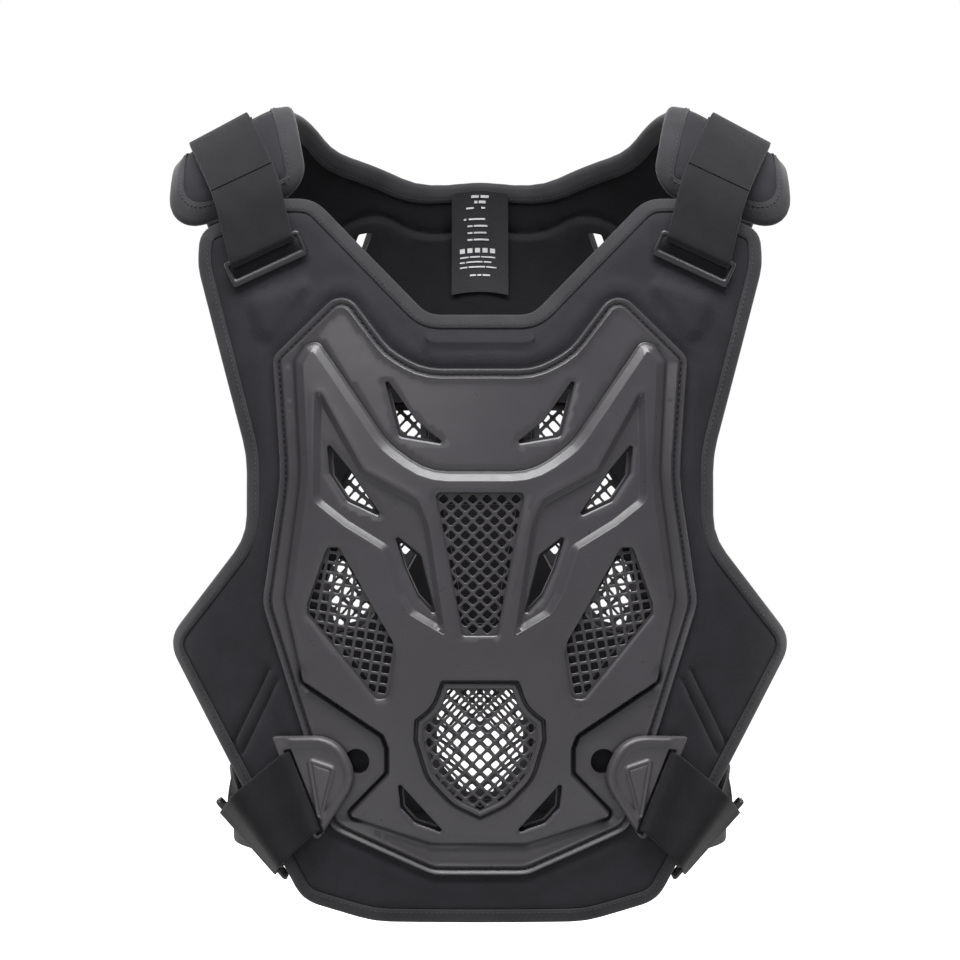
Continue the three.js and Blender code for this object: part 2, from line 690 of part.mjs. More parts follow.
// Front panel: foam with windows behind the openings, raised collar pads, wing channels and the studs' pockets
function frontPanel() {
  const edge = inset(chestEdge, tape.thick + tape.gap);
  let body = cutFrom(chestSheet, onChest, edge, 0, level.foam);
  for (const rows of bothSides(chestRows(collarPad, panel))) {
    body = body.add(block(rows, level.foam - 2, level.foam + relief.padRaise, onChest, 45));
  }
  const windows = [...ventEdges, ...netEdges].map((rows) => shrunk(rows, windowShrink));
  body = through(body, onChest, windows, -slack, level.foam + slack);
  const ends = chestRows(wingChannel, panel);
  for (const side of [1, -1]) {
    const [from, to] = ends.map((end) => ({ ...end, u: end.u * side }));
    const channel = slotRows(from, to, relief.channelWidth);
    body = body.subtract(block(channel, level.foam - relief.channelDepth, level.foam + slack, onChest));
    const lock = { ...studAt, u: studAt.u * side };
    const key = { ...keyholeAt, u: keyholeAt.u * side };
    const pocketTop = level.foam + slack;
    body = body.subtract(block(slotRows(lock, key, 2 * stud.keyRadius), stud.pocketFloor, pocketTop, onChest));
    body = body.subtract(disc(key.u, key.v, stud.keyRadius, stud.pocketFloor, pocketTop));
    body = body.subtract(disc(lock.u, lock.v, stud.keyRadius, stud.pocketFloor, pocketTop));
  }
  return body;
}

// Edge tape: folded round a panel's edge, one lip on each face, as one section carried round the outline
function edgeTape(form, columns, rowsAt, edge, thick, width) {
  const outline = [];
  const corners = points(edge);
  corners.forEach((from, i) => {
    const to = corners[(i + 1) % corners.length];
    const cuts = [0];
    const crossings = [...columns.map((u) => [u, from.x, to.x]), ...rowsAt.map((v) => [v, from.y, to.y])];
    for (const [line, start, end] of crossings) {
      const t = (line - start) / (end - start);
      if (t > 0.04 && t < 0.96) cuts.push(t);
    }
    cuts.sort((p, q) => p - q);
    const apart = cuts.filter((t, k) => k === 0 || t - cuts[k - 1] > 0.02);
    apart.forEach((t) => outline.push(from.clone().lerp(to, t)));
  });
  const sign = turnSign(edge);
  const gap = tape.gap;
  const out = gap + tape.thick;
  const section = [
    [width, -out], [0, -out], [0, thick + out], [width, thick + out],
    [width, thick + gap], [tape.thick, thick + gap], [tape.thick, -gap], [width, -gap],
  ];
  const positions = [];
  const index = [];
  const count = outline.length;
  outline.forEach((place, i) => {
    const a = place.clone().sub(outline[(i + count - 1) % count]).normalize();
    const b = outline[(i + 1) % count].clone().sub(place).normalize();
    const inward = new THREE.Vector2(-(a.y + b.y), a.x + b.x).multiplyScalar(sign / (1 + a.dot(b)));
    for (const [d, h] of section) {
      positions.push(form(place.x + inward.x * d, place.y + inward.y * d, h).toArray());
    }
  });
  const sides = section.length;
  for (let i = 0; i < count; i += 1) {
    const next = (i + 1) % count;
    for (let k = 0; k < sides; k += 1) {
      const turn = (k + 1) % sides;
      const [p, q, r, t] = [i * sides + k, next * sides + k, next * sides + turn, i * sides + turn];
      index.push(p, q, r, p, r, t);
    }
  }
  return solid(positions, index);
}

// Front shell: one moulded wall, with its body raised and hollow behind
function frontShell() {
  const base = cutFrom(chestSheet, onChest, shellEdge, level.shellBack, level.shellFace);
  let raised = cutFrom(chestSheet, onChest, raisedEdge, level.shellFace - 1, level.raisedFace);
  raised = through(raised, onChest, featherEdges, level.shellFace - slack, level.raisedFace + slack);
  let hollow = cutFrom(chestSheet, onChest, inset(raisedEdge, shell.wall), level.shellBack - 3, level.raisedBack);
  const ribs = featherEdges.map((rows) => inset(rows, -shell.wall));
  hollow = through(hollow, onChest, ribs, level.shellBack - 3 - slack, level.raisedBack + slack);
  let body = base.add(raised).subtract(hollow);
  body = through(body, onChest, [...ventEdges, ...netEdges], level.shellBack - 5, level.raisedFace + slack);
  for (const side of [1, -1]) {
    const from = { ...studAt, u: studAt.u * side };
    const to = { ...keyholeAt, u: keyholeAt.u * side };
    const slotWidth = 2 * (stud.neck + stud.slack);
    const [low, high] = [level.shellBack - 3, level.raisedFace + 1];
    body = body.subtract(block(slotRows(from, to, slotWidth), low, high, onChest));
    body = body.subtract(disc(from.u, from.v, stud.neck + stud.slack, low, high));
    body = body.subtract(disc(to.u, to.v, stud.keyRadius, low, high));
  }
  return body;
}

// Hook plate with rim, button, webbing slot and the stud that locks in the shell's keyhole
function hookPlate() {
  const edge = chestRows(hookOutline, shell);
  const top = level.hookFace;
  let body = block(edge, level.hookBack, top + hook.rim, onChest, longest.hook);
  body = body.subtract(block(inset(edge, hook.rimWidth), top, top + hook.rim + slack, onChest));
  body = body.add(block(chestRows(hookButton, shell), top - hook.sink, top + hook.button, onChest));
  const bar = hookBar();
  const shift = hook.barWidth / 2 + hook.slotWidth / 2;
  const slotFrom = { u: bar.top.u - bar.out.x * shift, v: bar.top.v - bar.out.y * shift };
  const slotTo = { u: bar.low.u - bar.out.x * shift, v: bar.low.v - bar.out.y * shift };
  const [low, high] = [level.hookBack - slack, top + hook.rim + slack];
  body = body.subtract(block(slotRows(slotFrom, slotTo, hook.slotWidth), low, high, onChest));
  const beyond = 6;
  const away = hook.barWidth / 2 + beyond / 2;
  const outside = [bar.top, bar.low].map((end) => ({
    u: end.u + bar.out.x * away,
    v: end.v + bar.out.y * away,
  }));
  body = body.subtract(block(slotRows(outside[0], outside[1], beyond), low, high, onChest));
  body = body.subtract(block(slotRows(bar.top, bar.low, hook.barWidth + 2 * hook.sink), top, high, onChest));
  const rooted = level.hookBack + hook.sink;
  const headTop = level.shellBack - stud.headGap;
  body = body.add(disc(studAt.u, studAt.v, stud.head, level.shellFace + 3 * seat, rooted));
  body = body.add(disc(studAt.u, studAt.v, stud.neck, headTop - hook.sink, rooted));
  return body.add(disc(studAt.u, studAt.v, stud.head, headTop - stud.headThick, headTop));
}

// The hook's bar, which the waist strap goes round
function hookBar() {
  const top = placeOnShell({ across: hookSlot.topAcross, down: hookSlot.topDown });
  const low = placeOnShell({ across: hookSlot.lowAcross, down: hookSlot.lowDown });
  const run = new THREE.Vector2(low.u - top.u, low.v - top.v).normalize();
  return { top, low, out: new THREE.Vector2(-run.y, run.x) };
}

// Side ring: across its long way, deep along the waist
const ringPlace = new THREE.Vector3(
  0.766 * panel.halfWidth,
  -0.49 * torso.chestReach,
  panel.top - 0.894 * panel.height,
);
const ringAcross = new THREE.Vector3(-0.664, 0, -0.748).normalize();
const ringDeep = new THREE.Vector3(0, 1, 0);

function sideRingBody() {
  const size = {
    across: sideRing.across,
    high: sideRing.deep,
    sideBar: sideRing.bar,
    lowBar: sideRing.bar,
    topBar: sideRing.bar,
    thick: sideRing.thick,
    round: sideRing.round,
  };
  const face = new THREE.Vector3().crossVectors(ringAcross, ringDeep).normalize();
  const place = ringPlace.clone().addScaledVector(ringDeep, -sideRing.deep / 2);
  return ringBody(size, place.addScaledVector(face, -sideRing.thick / 2), ringAcross, ringDeep);
}

// Waist strap: a closed elastic loop round the hook's bar and the ring's front bar
function waistStrap() {
  const bar = hookBar();
  const middle = { u: (bar.top.u + bar.low.u) / 2, v: (bar.top.v + bar.low.v) / 2 };
  const run = { u: bar.low.u - bar.top.u, v: bar.low.v - bar.top.v };
  const height = level.hookBack + hook.thick / 2;
  const start = onChest(middle.u, middle.v, height);
  const startAcross = onChest(middle.u + run.u / 2, middle.v + run.v / 2, height)
    .sub(onChest(middle.u - run.u / 2, middle.v - run.v / 2, height)).normalize();
  const end = ringPlace.clone().addScaledVector(ringDeep, -sideRing.deep / 2 + sideRing.bar / 2);
  const over = strapOverWing.map((row) => onChest(
    middle.u + row.across * panel.halfWidth,
    middle.v - row.down * panel.height,
    height + row.lift * waistWeb.thick,
  ));
  const turned = (t) => startAcross.clone().lerp(ringAcross, t).normalize();
  const centre = between([
    { at: start, across: startAcross },
    { at: over[0], across: turned(0.25) },
    { at: over[1], across: turned(0.6) },
    { at: end, across: ringAcross },
  ], 9);
  const faceAt = (i) => {
    const before = centre[Math.max(0, i - 1)].at;
    const after = centre[Math.min(centre.length - 1, i + 1)].at;
    return new THREE.Vector3().crossVectors(centre[i].across, after.clone().sub(before)).normalize();
  };
  const last = centre.length - 1;
  const hookArm = Math.hypot(hook.barWidth, hook.thick) / 2 + hook.slack + waistWeb.thick / 2;
  const ringArm = Math.hypot(sideRing.bar, sideRing.thick) / 2 + seat + waistWeb.thick / 2;
  const spread = waistWeb.thick / 2 + seat;
  const gap = (i) => {
    const t = i / last;
    const ends = Math.max(hookArm * (1 - t / 0.3), ringArm * (1 - (1 - t) / 0.3));
    return Math.max(spread, ends);
  };
  const layer = (sign) => centre.slice(1, last).map((station, k) => ({
    at: station.at.clone().addScaledVector(faceAt(k + 1), sign * gap(k + 1)),
    across: station.across,
  }));
  const ringTurn = halfTurn(end, faceAt(last).multiplyScalar(ringArm), ringAcross.clone(), 6, -Math.PI);
  const hookTurn = halfTurn(start, faceAt(0).multiplyScalar(-hookArm), startAcross.clone(), 6, -Math.PI);
  const loop = [...layer(1), ...ringTurn, ...layer(-1).reverse(), ...hookTurn];
  return band(loop, waistWeb.width, waistWeb.thick, true);
}

// Anchor: webbing from round the ring's rear bar to the back panel's side
function waistAnchor() {
  const rear = ringPlace.clone().addScaledVector(ringDeep, sideRing.deep / 2 - sideRing.bar / 2);
  const face = new THREE.Vector3().crossVectors(ringDeep, ringAcross).normalize();
  if (face.x < 0) face.negate();
  const arm = Math.hypot(sideRing.bar, sideRing.thick) / 2 + seat + waistWeb.thick / 2;
  const high = back.thick + tape.gap + tape.thick + seat + waistWeb.thick / 2 + waistWeb.clear;
  const landing = anchorOnBack.map((row) => {
    const [u, v] = [row.across * back.halfWidth, row.along * back.length];
    const h = high + row.lift * waistWeb.thick;
    const at = onBack(u, v, h);
    return { at, across: at.clone().sub(onBack(u, v - 10, h)).normalize() };
  });
  const beside = waistWeb.thick / 2 + seat;
  const tailEnd = rear.clone().addScaledVector(ringDeep, waistWeb.tail);
  const tail = tailEnd.clone().addScaledVector(face, -beside);
  const turn = halfTurn(rear, face.clone().multiplyScalar(-arm), ringAcross.clone(), 4,
    face.clone().cross(ringDeep).dot(ringAcross) > 0 ? Math.PI : -Math.PI);
  const outRun = [
    turn[turn.length - 1],
    {
      at: tailEnd.clone().addScaledVector(face, beside),
      across: ringAcross.clone(),
    },
    {
      at: rear.clone().lerp(landing[0].at, 0.5).addScaledVector(face, waistWeb.bulge),
      across: ringAcross.clone().lerp(landing[0].across, 0.5).normalize(),
    },
    ...landing,
  ];
  const stations = [{ at: tail, across: ringAcross.clone() }, ...turn.slice(0, -1), ...between(outRun, 14)];
  return band(stations, waistWeb.width, waistWeb.thick, false);
}

// Shoulder frame: sewn to the foam by its low bar, the top bar lifted by the strap
const framePlace = { u: 0.684 * panel.halfWidth, v: panel.top - 0.102 * panel.height };
const frameRun = new THREE.Vector2(0.911, -0.413).normalize();
const frameRise = new THREE.Vector2(0.413, 0.911).normalize();

function frameAxes() {
  const base = level.foam + seat;
  const step = frameBar.across / 2;
  const at = (a, b, h) => onChest(framePlace.u + frameRun.x * a + frameRise.x * b,
    framePlace.v + frameRun.y * a + frameRise.y * b, h);
  const across = at(step, 0, base).sub(at(-step, 0, base)).normalize();
  const upRough = at(0, frameBar.high, base).sub(at(0, 0, base)).normalize();
  const out = new THREE.Vector3().crossVectors(across, upRough).normalize();
  const up = new THREE.Vector3().crossVectors(out, across).normalize();
  if (out.y > 0) out.negate();
  const tilted = up.clone().addScaledVector(out, frameBar.tilt).normalize();
  const face = new THREE.Vector3().crossVectors(across, tilted);
  return { place: at(0, 0, base + frameBar.rise), across, up: tilted, out: face };
}

function shoulderFrame() {
  const axes = frameAxes();
  return ringBody(frameBar, axes.place, axes.across, axes.up);
}

function shoulderStrap() {
  const axes = frameAxes();
  const thick = shoulderWeb.thick;
  const bar = axes.place.clone()
    .addScaledVector(axes.up, frameBar.high - frameBar.topBar / 2)
    .addScaledVector(axes.out, frameBar.thick / 2);
  const arm = Math.hypot(frameBar.topBar, frameBar.thick) / 2 + seat + thick / 2;
  const onFoam = (row) => {
    const place = { u: row.across * panel.halfWidth, v: panel.top - row.down * panel.height };
    const at = onChest(place.u, place.v, level.foam + row.lift * thick);
    return { at, across: axes.across.clone() };
  };
  const onTab = (row) => {
    const place = { u: row.across * back.halfWidth, v: row.along * back.length };
    const at = onBack(place.u, place.v, back.thick + row.lift * thick);
    const [right, left] = [10, -10].map((step) => onBack(place.u + step, place.v, back.thick));
    return { at, across: right.sub(left).normalize() };
  };
  const turn = halfTurn(bar, axes.out.clone().multiplyScalar(arm), axes.across.clone(), 4, Math.PI).reverse();
  const under = strapUnder.map(onTab);
  const inner = between([...under, ...strapUnderChest.map(onFoam), turn[0]], 8);
  const outer = between([turn[turn.length - 1], ...strapOnChest.map(onFoam), ...strapOnTab.map(onTab)], 20);
  return band([...inner, ...turn.slice(1, -1), ...outer], shoulderWeb.width, thick, false);
}

// Back panel and its tabs
const backEdge = whole(backRows(backOutline, back));
const backShellEdge = whole(backRows(backShellOutline, backShell));
const backVents = bothSides(backRows(backVent, backShell));
const backSideEdges = bothSides(backRows(backSideOpening, backShell));
const backLowRows = backRows(backLowOpening, backShell);
const backLowEdge = [...backLowRows, ...mirrored(backLowRows)];
const backNetEdges = [...backSideEdges, backLowEdge];
const backLevel = {};
backLevel.shellBack = back.thick + seat;
backLevel.shellFace = backLevel.shellBack + backShell.wall;
backLevel.netBack = back.thick - net.drop - net.thick;

function backPanel() {
  const edge = inset(backEdge, tape.thick + 2 * tape.gap);
  const body = cutFrom(backSheet, onBack, edge, 0, back.thick);
  const seats = backNetEdges.map((rows) => inset(rows, -net.flange - net.backGap));
  return through(body, onBack, [...seats, ...backVents], -slack, back.thick + slack);
}

function backShellBody() {
  const body = cutFrom(backSheet, onBack, backShellEdge, backLevel.shellBack, backLevel.shellFace);
  const openings = [...backNetEdges, ...backVents];
  return through(body, onBack, openings, backLevel.shellBack - slack, backLevel.shellFace + slack);
}

function careLabel() {
  const half = label.width / 2;
  const high = -(tape.gap + tape.thick + label.gap);
  const low = label.start + label.drop;
  const rows = [[-half, label.start], [half, label.start], [half, low], [-half, low]]
    .map(([u, v]) => ({ u, v, round: 0 }));
  return block(rows, high - label.thick, high, onBack, longest.label);
}

// Materials
const finish = (color, roughness) => new THREE.MeshStandardMaterial({ color, roughness, metalness: 0 });
const foamCloth = finish(0x26242a, 0.9);
const tapeCloth = finish(0x3a393d, 0.85);
const mouldedPlastic = finish(0x4a474b, 0.42);
const netPlastic = finish(0x3a383c, 0.5);
const webbing = finish(0x201e22, 0.95);
const ringPlastic = finish(0x2a2930, 0.45);
const labelSatin = finish(0x141416, 0.6);

const model = new THREE.Group();

function add(name, body, material) {
  const mesh = new THREE.Mesh(geometryOf(body), material);
  mesh.name = name;
  model.add(mesh);
}

function flipped(body) {
  const mesh = body.getMesh();
  const positions = [];
  for (let i = 0; i < mesh.vertProperties.length; i += 3) {
    positions.push([-mesh.vertProperties[i], mesh.vertProperties[i + 1], mesh.vertProperties[i + 2]]);
  }
  return solid(positions, Array.from(mesh.triVerts));
}

function addPair(name, body, material) {
  add(`${name}_right`, body, material);
  add(`${name}_left`, flipped(body), material);
}

add('front_panel', frontPanel(), foamCloth);
const chestTape = edgeTape(onChest, chestColumns, chestRowsAt, chestEdge, panel.thick, tape.frontWidth);
const backTape = edgeTape(onBack, backColumns, backRowsAt, backEdge, back.thick, tape.backWidth);
const backSideNet = netPlate(onBack, backSideEdges[0], backLevel.netBack, net.backPitch, Math.PI / 4);
const backLowNet = netPlate(onBack, backLowEdge, backLevel.netBack, net.backPitch, Math.PI / 4);
add('front_binding', chestTape, tapeCloth);
add('front_shell', frontShell(), mouldedPlastic);
add('grille_centre', netPlate(onChest, centreEdge, level.netBack, net.pitch, Math.PI / 4), netPlastic);
add('grille_shield', netPlate(onChest, shieldEdge, level.netBack, net.pitch, Math.PI / 4), netPlastic);
addPair('grille', netPlate(onChest, sideEdges[0], level.netBack, net.pitch, 0.17), netPlastic);
add('back_panel', backPanel(), foamCloth);
add('back_binding', backTape, tapeCloth);
add('back_shell', backShellBody(), mouldedPlastic);
addPair('back_grille', backSideNet, netPlastic);
add('back_grille_low', backLowNet, netPlastic);
addPair('shoulder_frame', shoulderFrame(), ringPlastic);
addPair('shoulder_strap', shoulderStrap(), webbing);
addPair('hook', hookPlate(), mouldedPlastic);
addPair('side_ring', sideRingBody(), ringPlastic);
addPair('side_strap', waistStrap(), webbing);
addPair('side_anchor', waistAnchor(), webbing);
add('care_label', careLabel(), labelSatin);

export default model;
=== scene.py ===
# Roost deflector: padded chest and back panels with moulded shells, shoulder tabs and waist straps.
# Shapes are worked out in millimetres in the part's own frame and turned into metres when a mesh is made.
import math

import bpy
import numpy as np
from mathutils import Matrix, Vector, geometry, kdtree


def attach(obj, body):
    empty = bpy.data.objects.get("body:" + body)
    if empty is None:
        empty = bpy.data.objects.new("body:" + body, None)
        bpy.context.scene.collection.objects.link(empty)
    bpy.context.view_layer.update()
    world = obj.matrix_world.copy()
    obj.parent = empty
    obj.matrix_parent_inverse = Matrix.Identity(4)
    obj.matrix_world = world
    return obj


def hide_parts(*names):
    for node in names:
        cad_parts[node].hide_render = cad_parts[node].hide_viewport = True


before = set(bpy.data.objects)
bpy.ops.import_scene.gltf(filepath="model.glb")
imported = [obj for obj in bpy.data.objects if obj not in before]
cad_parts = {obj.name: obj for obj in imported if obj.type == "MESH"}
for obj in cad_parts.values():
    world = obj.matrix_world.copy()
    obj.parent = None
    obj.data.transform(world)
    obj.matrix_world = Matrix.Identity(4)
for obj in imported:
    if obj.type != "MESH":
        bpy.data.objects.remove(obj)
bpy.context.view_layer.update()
MM = 0.001

# Torso that the guard is formed to
CHEST_REACH, CHEST_HALF, CHEST_DEPTH, FLATTENING = 112, 243, 115, 0.7
BELLY, UPPER_LEAN, LOWER_LEAN = 330, 1340, 2100
SHOULDER_FRONT, SHOULDER_FRONT_DROP, BACK_REACH, BACK_DROP = 56, 62, 128, 170
BACK_HALF, BACK_DEPTH, LUMBAR_DIP, LUMBAR_HEIGHT = 250, 110, 10, 360
SHOULDER_SLOPE, SHOULDER_MID, NECK_ROUND = 0.554, 166, 50

PANEL = dict(half=217, height=519, top=-56, thick=9)
SHELL = dict(half=151.5, height=411, top=-128.5, wall=2.5, rise=4)
BACK = dict(half=209, length=690, thick=12)
PLATE = dict(half=138, length=690, wall=2.5)
FOAM, SHELL_BACK, SHELL_FACE = 9, 9.3, 11.8
NET_BACK, NET_THICK = 10.1, 1.9
HOOK_BACK, HOOK_FACE = 13.4, 17.4
BACK_SHELL_BACK, BACK_SHELL_FACE = 12.3, 14.8
BACK_NET_BACK = 8.9
CLOTH_GAP = 0.3

# Foam thins toward its edge, over EDGE_SOFT, to EDGE_SHARE of its thickness, and its back rises by EDGE_LIFT
EDGE_SHARE, EDGE_LIFT, EDGE_SOFT = 0.6, 2.2, 15
FOAM_TRIM = 1.2

# Fineness of rounded corners, and how many places are measured at a time
ARC_STEP, LEAST_ARC, SIDE_SHARE, CHUNK = 0.22, 0.4, 0.47, 4000

# Outlines: shares of the half width (across), of the height (down) and of the half width (corner radius)
PANEL_EDGE = [
    (0, 0.164, 0), (0.175, 0.164, 0.101), (0.553, 0.001, 0.111), (0.673, 0.001, 0.138),
    (0.926, 0.044, 0.065), (0.933, 0.091, 0.23), (0.763, 0.355, 0.415), (0.763, 0.467, 0.207),
    (1.035, 0.615, 0.101), (0.581, 0.971, 0.111), (0.346, 0.998, 0.369), (0, 1, 0)]
SHELL_EDGE = [
    (0, 0.129, 0), (0.264, 0.124, 0.396), (0.422, 0.089, 0.264), (0.64, -0.017, 0.092),
    (0.974, 0.103, 0.079), (0.927, 0.31, 0.792), (1.009, 0.529, 0.198), (0.818, 0.758, 0.396),
    (0.7, 0.921, 0.145), (0.218, 1, 0.132), (0, 1, 0)]
RAISED = [
    (0, 0.304, 0), (0.244, 0.304, 0.3), (0.428, 0.255, 0.3), (0.759, 0.077, 0.04), (0.818, 0.084, 0.04),
    (0.865, 0.111, 0.04), (0.832, 0.31, 0.66), (0.904, 0.519, 0.165), (0.818, 0.665, 0.02),
    (0.447, 0.757, 0.033), (0.424, 0.78, 0.026), (0.424, 0.824, 0.04), (0.614, 0.898, 0.02),
    (0.218, 0.944, 0.092), (0, 0.944, 0)]
FEATHER = [
    (0.766, 0.164, 0.01), (0.769, 0.352, 0.08), (0.627, 0.394, 0.06), (0.446, 0.436, 0.033),
    (0.376, 0.514, 0.053), (0.323, 0.547, 0.033), (0.155, 0.585, 0.01), (0.235, 0.393, 0.198),
    (0.286, 0.349, 0.053), (0.441, 0.318, 0.066), (0.534, 0.299, 0.053), (0.733, 0.167, 0.01)]
VENTS = [
    [(0.455, 0.131, 0.01), (0.301, 0.211, 0.01), (0.155, 0.256, 0.01), (0.376, 0.242, 0.03)],
    [(0.714, 0.248, 0.01), (0.6, 0.299, 0.03), (0.447, 0.382, 0.01), (0.613, 0.353, 0.03),
     (0.7, 0.304, 0.02)],
    [(0.399, 0.408, 0.01), (0.272, 0.445, 0.03), (0.197, 0.554, 0.01), (0.285, 0.519, 0.03),
     (0.348, 0.468, 0.02)],
    [(0.378, 0.834, 0.01), (0.153, 0.927, 0.01), (0.299, 0.908, 0.03), (0.365, 0.881, 0.02)]]
CENTRE_NET = [(0.207, 0.338, 0.02), (0.082, 0.584, 0.02)]
SIDE_NET = [
    (0.703, 0.431, 0.026), (0.646, 0.431, 0.026), (0.399, 0.593, 0.033), (0.385, 0.616, 0.033),
    (0.417, 0.692, 0.033), (0.475, 0.694, 0.026), (0.793, 0.548, 0.026), (0.793, 0.529, 0.026)]
SHIELD = [
    (0.178, 0.66, 0.02), (0.219, 0.705, 0.25), (0.301, 0.729, 0.02), (0.305, 0.766, 0.06),
    (0.25, 0.834, 0.2), (0.131, 0.881, 0.2), (0, 0.904, 0)]
COLLAR_PAD = [(0.783, 0.14, 0.05), (0.505, 0.102, 0.03), (0.705, 0.212, 0.04)]
WING_LINES = [[(0.687, 0.651), (0.802, 0.751)], [(0.655, 0.663), (0.775, 0.768)]]
LOCK, KEYHOLE = (0.68, 0.826), (0.57, 0.803)
HOOK_EDGE = [
    (0.96, 0.762, 0.012), (0.655, 0.757, 0.16), (0.555, 0.83, 0.16), (0.75, 0.945, 0.02),
    (0.815, 0.9, 0.02), (0.945, 0.788, 0.02)]
HOOK_BUTTON = [(0.79, 0.795, 0.02), (0.65, 0.812, 0.03), (0.715, 0.905, 0.03), (0.745, 0.9, 0.02)]
HOOK_BAR = [(0.911, 0.787), (0.757, 0.933)]
BAR_WIDTH, SLOT_WIDTH = 4.2, 5.4

# Back outlines: shares of the half width, of the length from the shoulder ridge and of the half width
BACK_EDGE = [
    (0, 0.232, 0), (0.191, 0.232, 0.335), (0.536, 0.133, 0.383), (0.679, 0.014, 0.287),
    (0.603, -0.143, 0.067), (1.081, -0.113, 0.153), (1.062, 0.043, 0.383), (0.909, 0.232, 0.574),
    (0.761, 0.42, 0.383), (0.761, 0.525, 0.191), (1, 0.606, 0.115), (0.727, 0.87, 0.115),
    (0.297, 0.985, 0.287), (0, 1, 0)]
PLATE_EDGE = [
    (0, 0.29, 0), (0.326, 0.29, 0.145), (0.609, 0.214, 0.058), (0.812, 0.214, 0.072), (1, 0.275, 0.101),
    (0.884, 0.435, 0.58), (1, 0.594, 0.217), (0.812, 0.768, 0.29), (0.58, 0.9, 0.159),
    (0.217, 0.955, 0.217), (0, 0.955, 0)]
PLATE_BODY = [
    (0, 0.36, 0), (0.3, 0.36, 0.1), (0.62, 0.285, 0.1), (0.8, 0.3, 0.1), (0.72, 0.435, 0.5),
    (0.8, 0.6, 0.2), (0.66, 0.76, 0.2), (0.46, 0.87, 0.15), (0.18, 0.915, 0.15), (0, 0.915, 0)]
SPINE = [(0.1, 0.4, 0.05), (0.16, 0.56, 0.1), (0.1, 0.74, 0.05)]
BACK_VENT = [(0.565, 0.241, 0.02), (0.71, 0.232, 0.02), (0.768, 0.261, 0.02), (0.638, 0.275, 0.02)]
BACK_SIDE_NET = [
    (0.333, 0.472, 0.03), (0.507, 0.458, 0.03), (0.754, 0.517, 0.06), (0.87, 0.597, 0.04),
    (0.812, 0.678, 0.03), (0.667, 0.685, 0.03), (0.435, 0.645, 0.06), (0.319, 0.611, 0.04)]
BACK_LOW_NET = [(0.246, 0.789, 0.03), (0.246, 0.88, 0.06), (0.087, 0.925, 0.06)]
INNER_PAD = [
    (0, 0.285, 0), (0.2, 0.285, 0.3), (0.46, 0.206, 0.2), (0.78, 0.28, 0.2), (0.62, 0.42, 0.3),
    (0.62, 0.55, 0.3), (0.76, 0.63, 0.1), (0.6, 0.84, 0.1), (0.25, 0.93, 0.2), (0, 0.94, 0)]


# Forms

def smooth(low, high, value):
    t = np.clip((value - low) / (high - low), 0, 1)
    return t * t * (3 - 2 * t)


def arc_depth(x, half, depth):
    return depth * (1 - np.sqrt(1 - np.minimum(0.99, (x / half) ** 2)))


def chest_y(x, z):
    flat = 1 - FLATTENING * smooth(-BELLY * 1.3, PANEL["top"], z)
    rise = z + BELLY
    lean = rise * rise / (2 * np.where(rise > 0, UPPER_LEAN, LOWER_LEAN))
    return arc_depth(x, CHEST_HALF, CHEST_DEPTH) * flat + lean - CHEST_REACH


def chest(p, h):
    """Places on the chest for rows (x, z) and heights over the panel's inner face."""
    p = np.atleast_2d(np.asarray(p, float))
    x, z = p[:, 0], p[:, 1]
    near = 2.0
    slope_x = (chest_y(x + near, z) - chest_y(x - near, z)) / (2 * near)
    slope_z = (chest_y(x, z + near) - chest_y(x, z - near)) / (2 * near)
    out = np.stack([slope_x, -np.ones_like(x), slope_z], 1)
    out /= np.linalg.norm(out, axis=1)[:, None]
    return np.stack([x, chest_y(x, z), z], 1) + out * np.broadcast_to(h, x.shape)[:, None]


def shoulder_line():
    """Rows of length along the back from the shoulder ridge, place to the rear, and drop."""
    angle = np.linspace(0, math.pi / 2, 400)
    below = np.arange(1, 181) * 4.0
    dip = LUMBAR_DIP * np.sin(np.pi * np.minimum(1, below / LUMBAR_HEIGHT)) ** 2
    front = np.stack([-SHOULDER_FRONT * np.sin(angle), SHOULDER_FRONT_DROP * (1 - np.cos(angle))], 1)
    rear = np.stack([BACK_REACH * np.sin(angle), BACK_DROP * (1 - np.cos(angle))], 1)
    front = np.vstack([front, np.stack([0 * below - SHOULDER_FRONT, SHOULDER_FRONT_DROP + below], 1)])
    rear = np.vstack([rear, np.stack([BACK_REACH - dip, BACK_DROP + below], 1)])
    parts = []
    for run, side in ((front, -1), (rear, 1)):
        step = np.linalg.norm(np.diff(run, axis=0), axis=1)
        along = side * np.concatenate([[0], np.cumsum(step)])
        parts.append(np.column_stack([along, run]))
    return np.vstack([parts[0][:0:-1], parts[1]])


LINE = shoulder_line()


def back_base(u, v):
    y = np.interp(v, LINE[:, 0], LINE[:, 1])
    drop = np.interp(v, LINE[:, 0], LINE[:, 2])
    share = np.maximum(0, y) / BACK_REACH
    height = SHOULDER_SLOPE * (math.hypot(SHOULDER_MID, NECK_ROUND) - np.hypot(u, NECK_ROUND))
    return np.stack([u, y - share * arc_depth(u, BACK_HALF, BACK_DEPTH), height - drop], 1)


def back(p, h):
    """Places on the back for rows (across, along) and heights over the panel's inner face."""
    p = np.atleast_2d(np.asarray(p, float))
    u, v = p[:, 0], p[:, 1]
    near = 4.0
    across = back_base(u + near, v) - back_base(u - near, v)
    along = back_base(u, v + near) - back_base(u, v - near)
    out = np.cross(across, along)
    out /= np.linalg.norm(out, axis=1)[:, None]
    return back_base(u, v) + out * np.broadcast_to(h, u.shape)[:, None]


# Outlines

def chest_rows(rows, size):
    return [(a * size["half"], size["top"] - d * size["height"], r * size["half"]) for a, d, r in rows]


def back_rows(rows, size):
    return [(a * size["half"], d * size["length"], r * size["half"]) for a, d, r in rows]


def mirrored(rows):
    return [(-u, v, r) for u, v, r in rows][::-1]


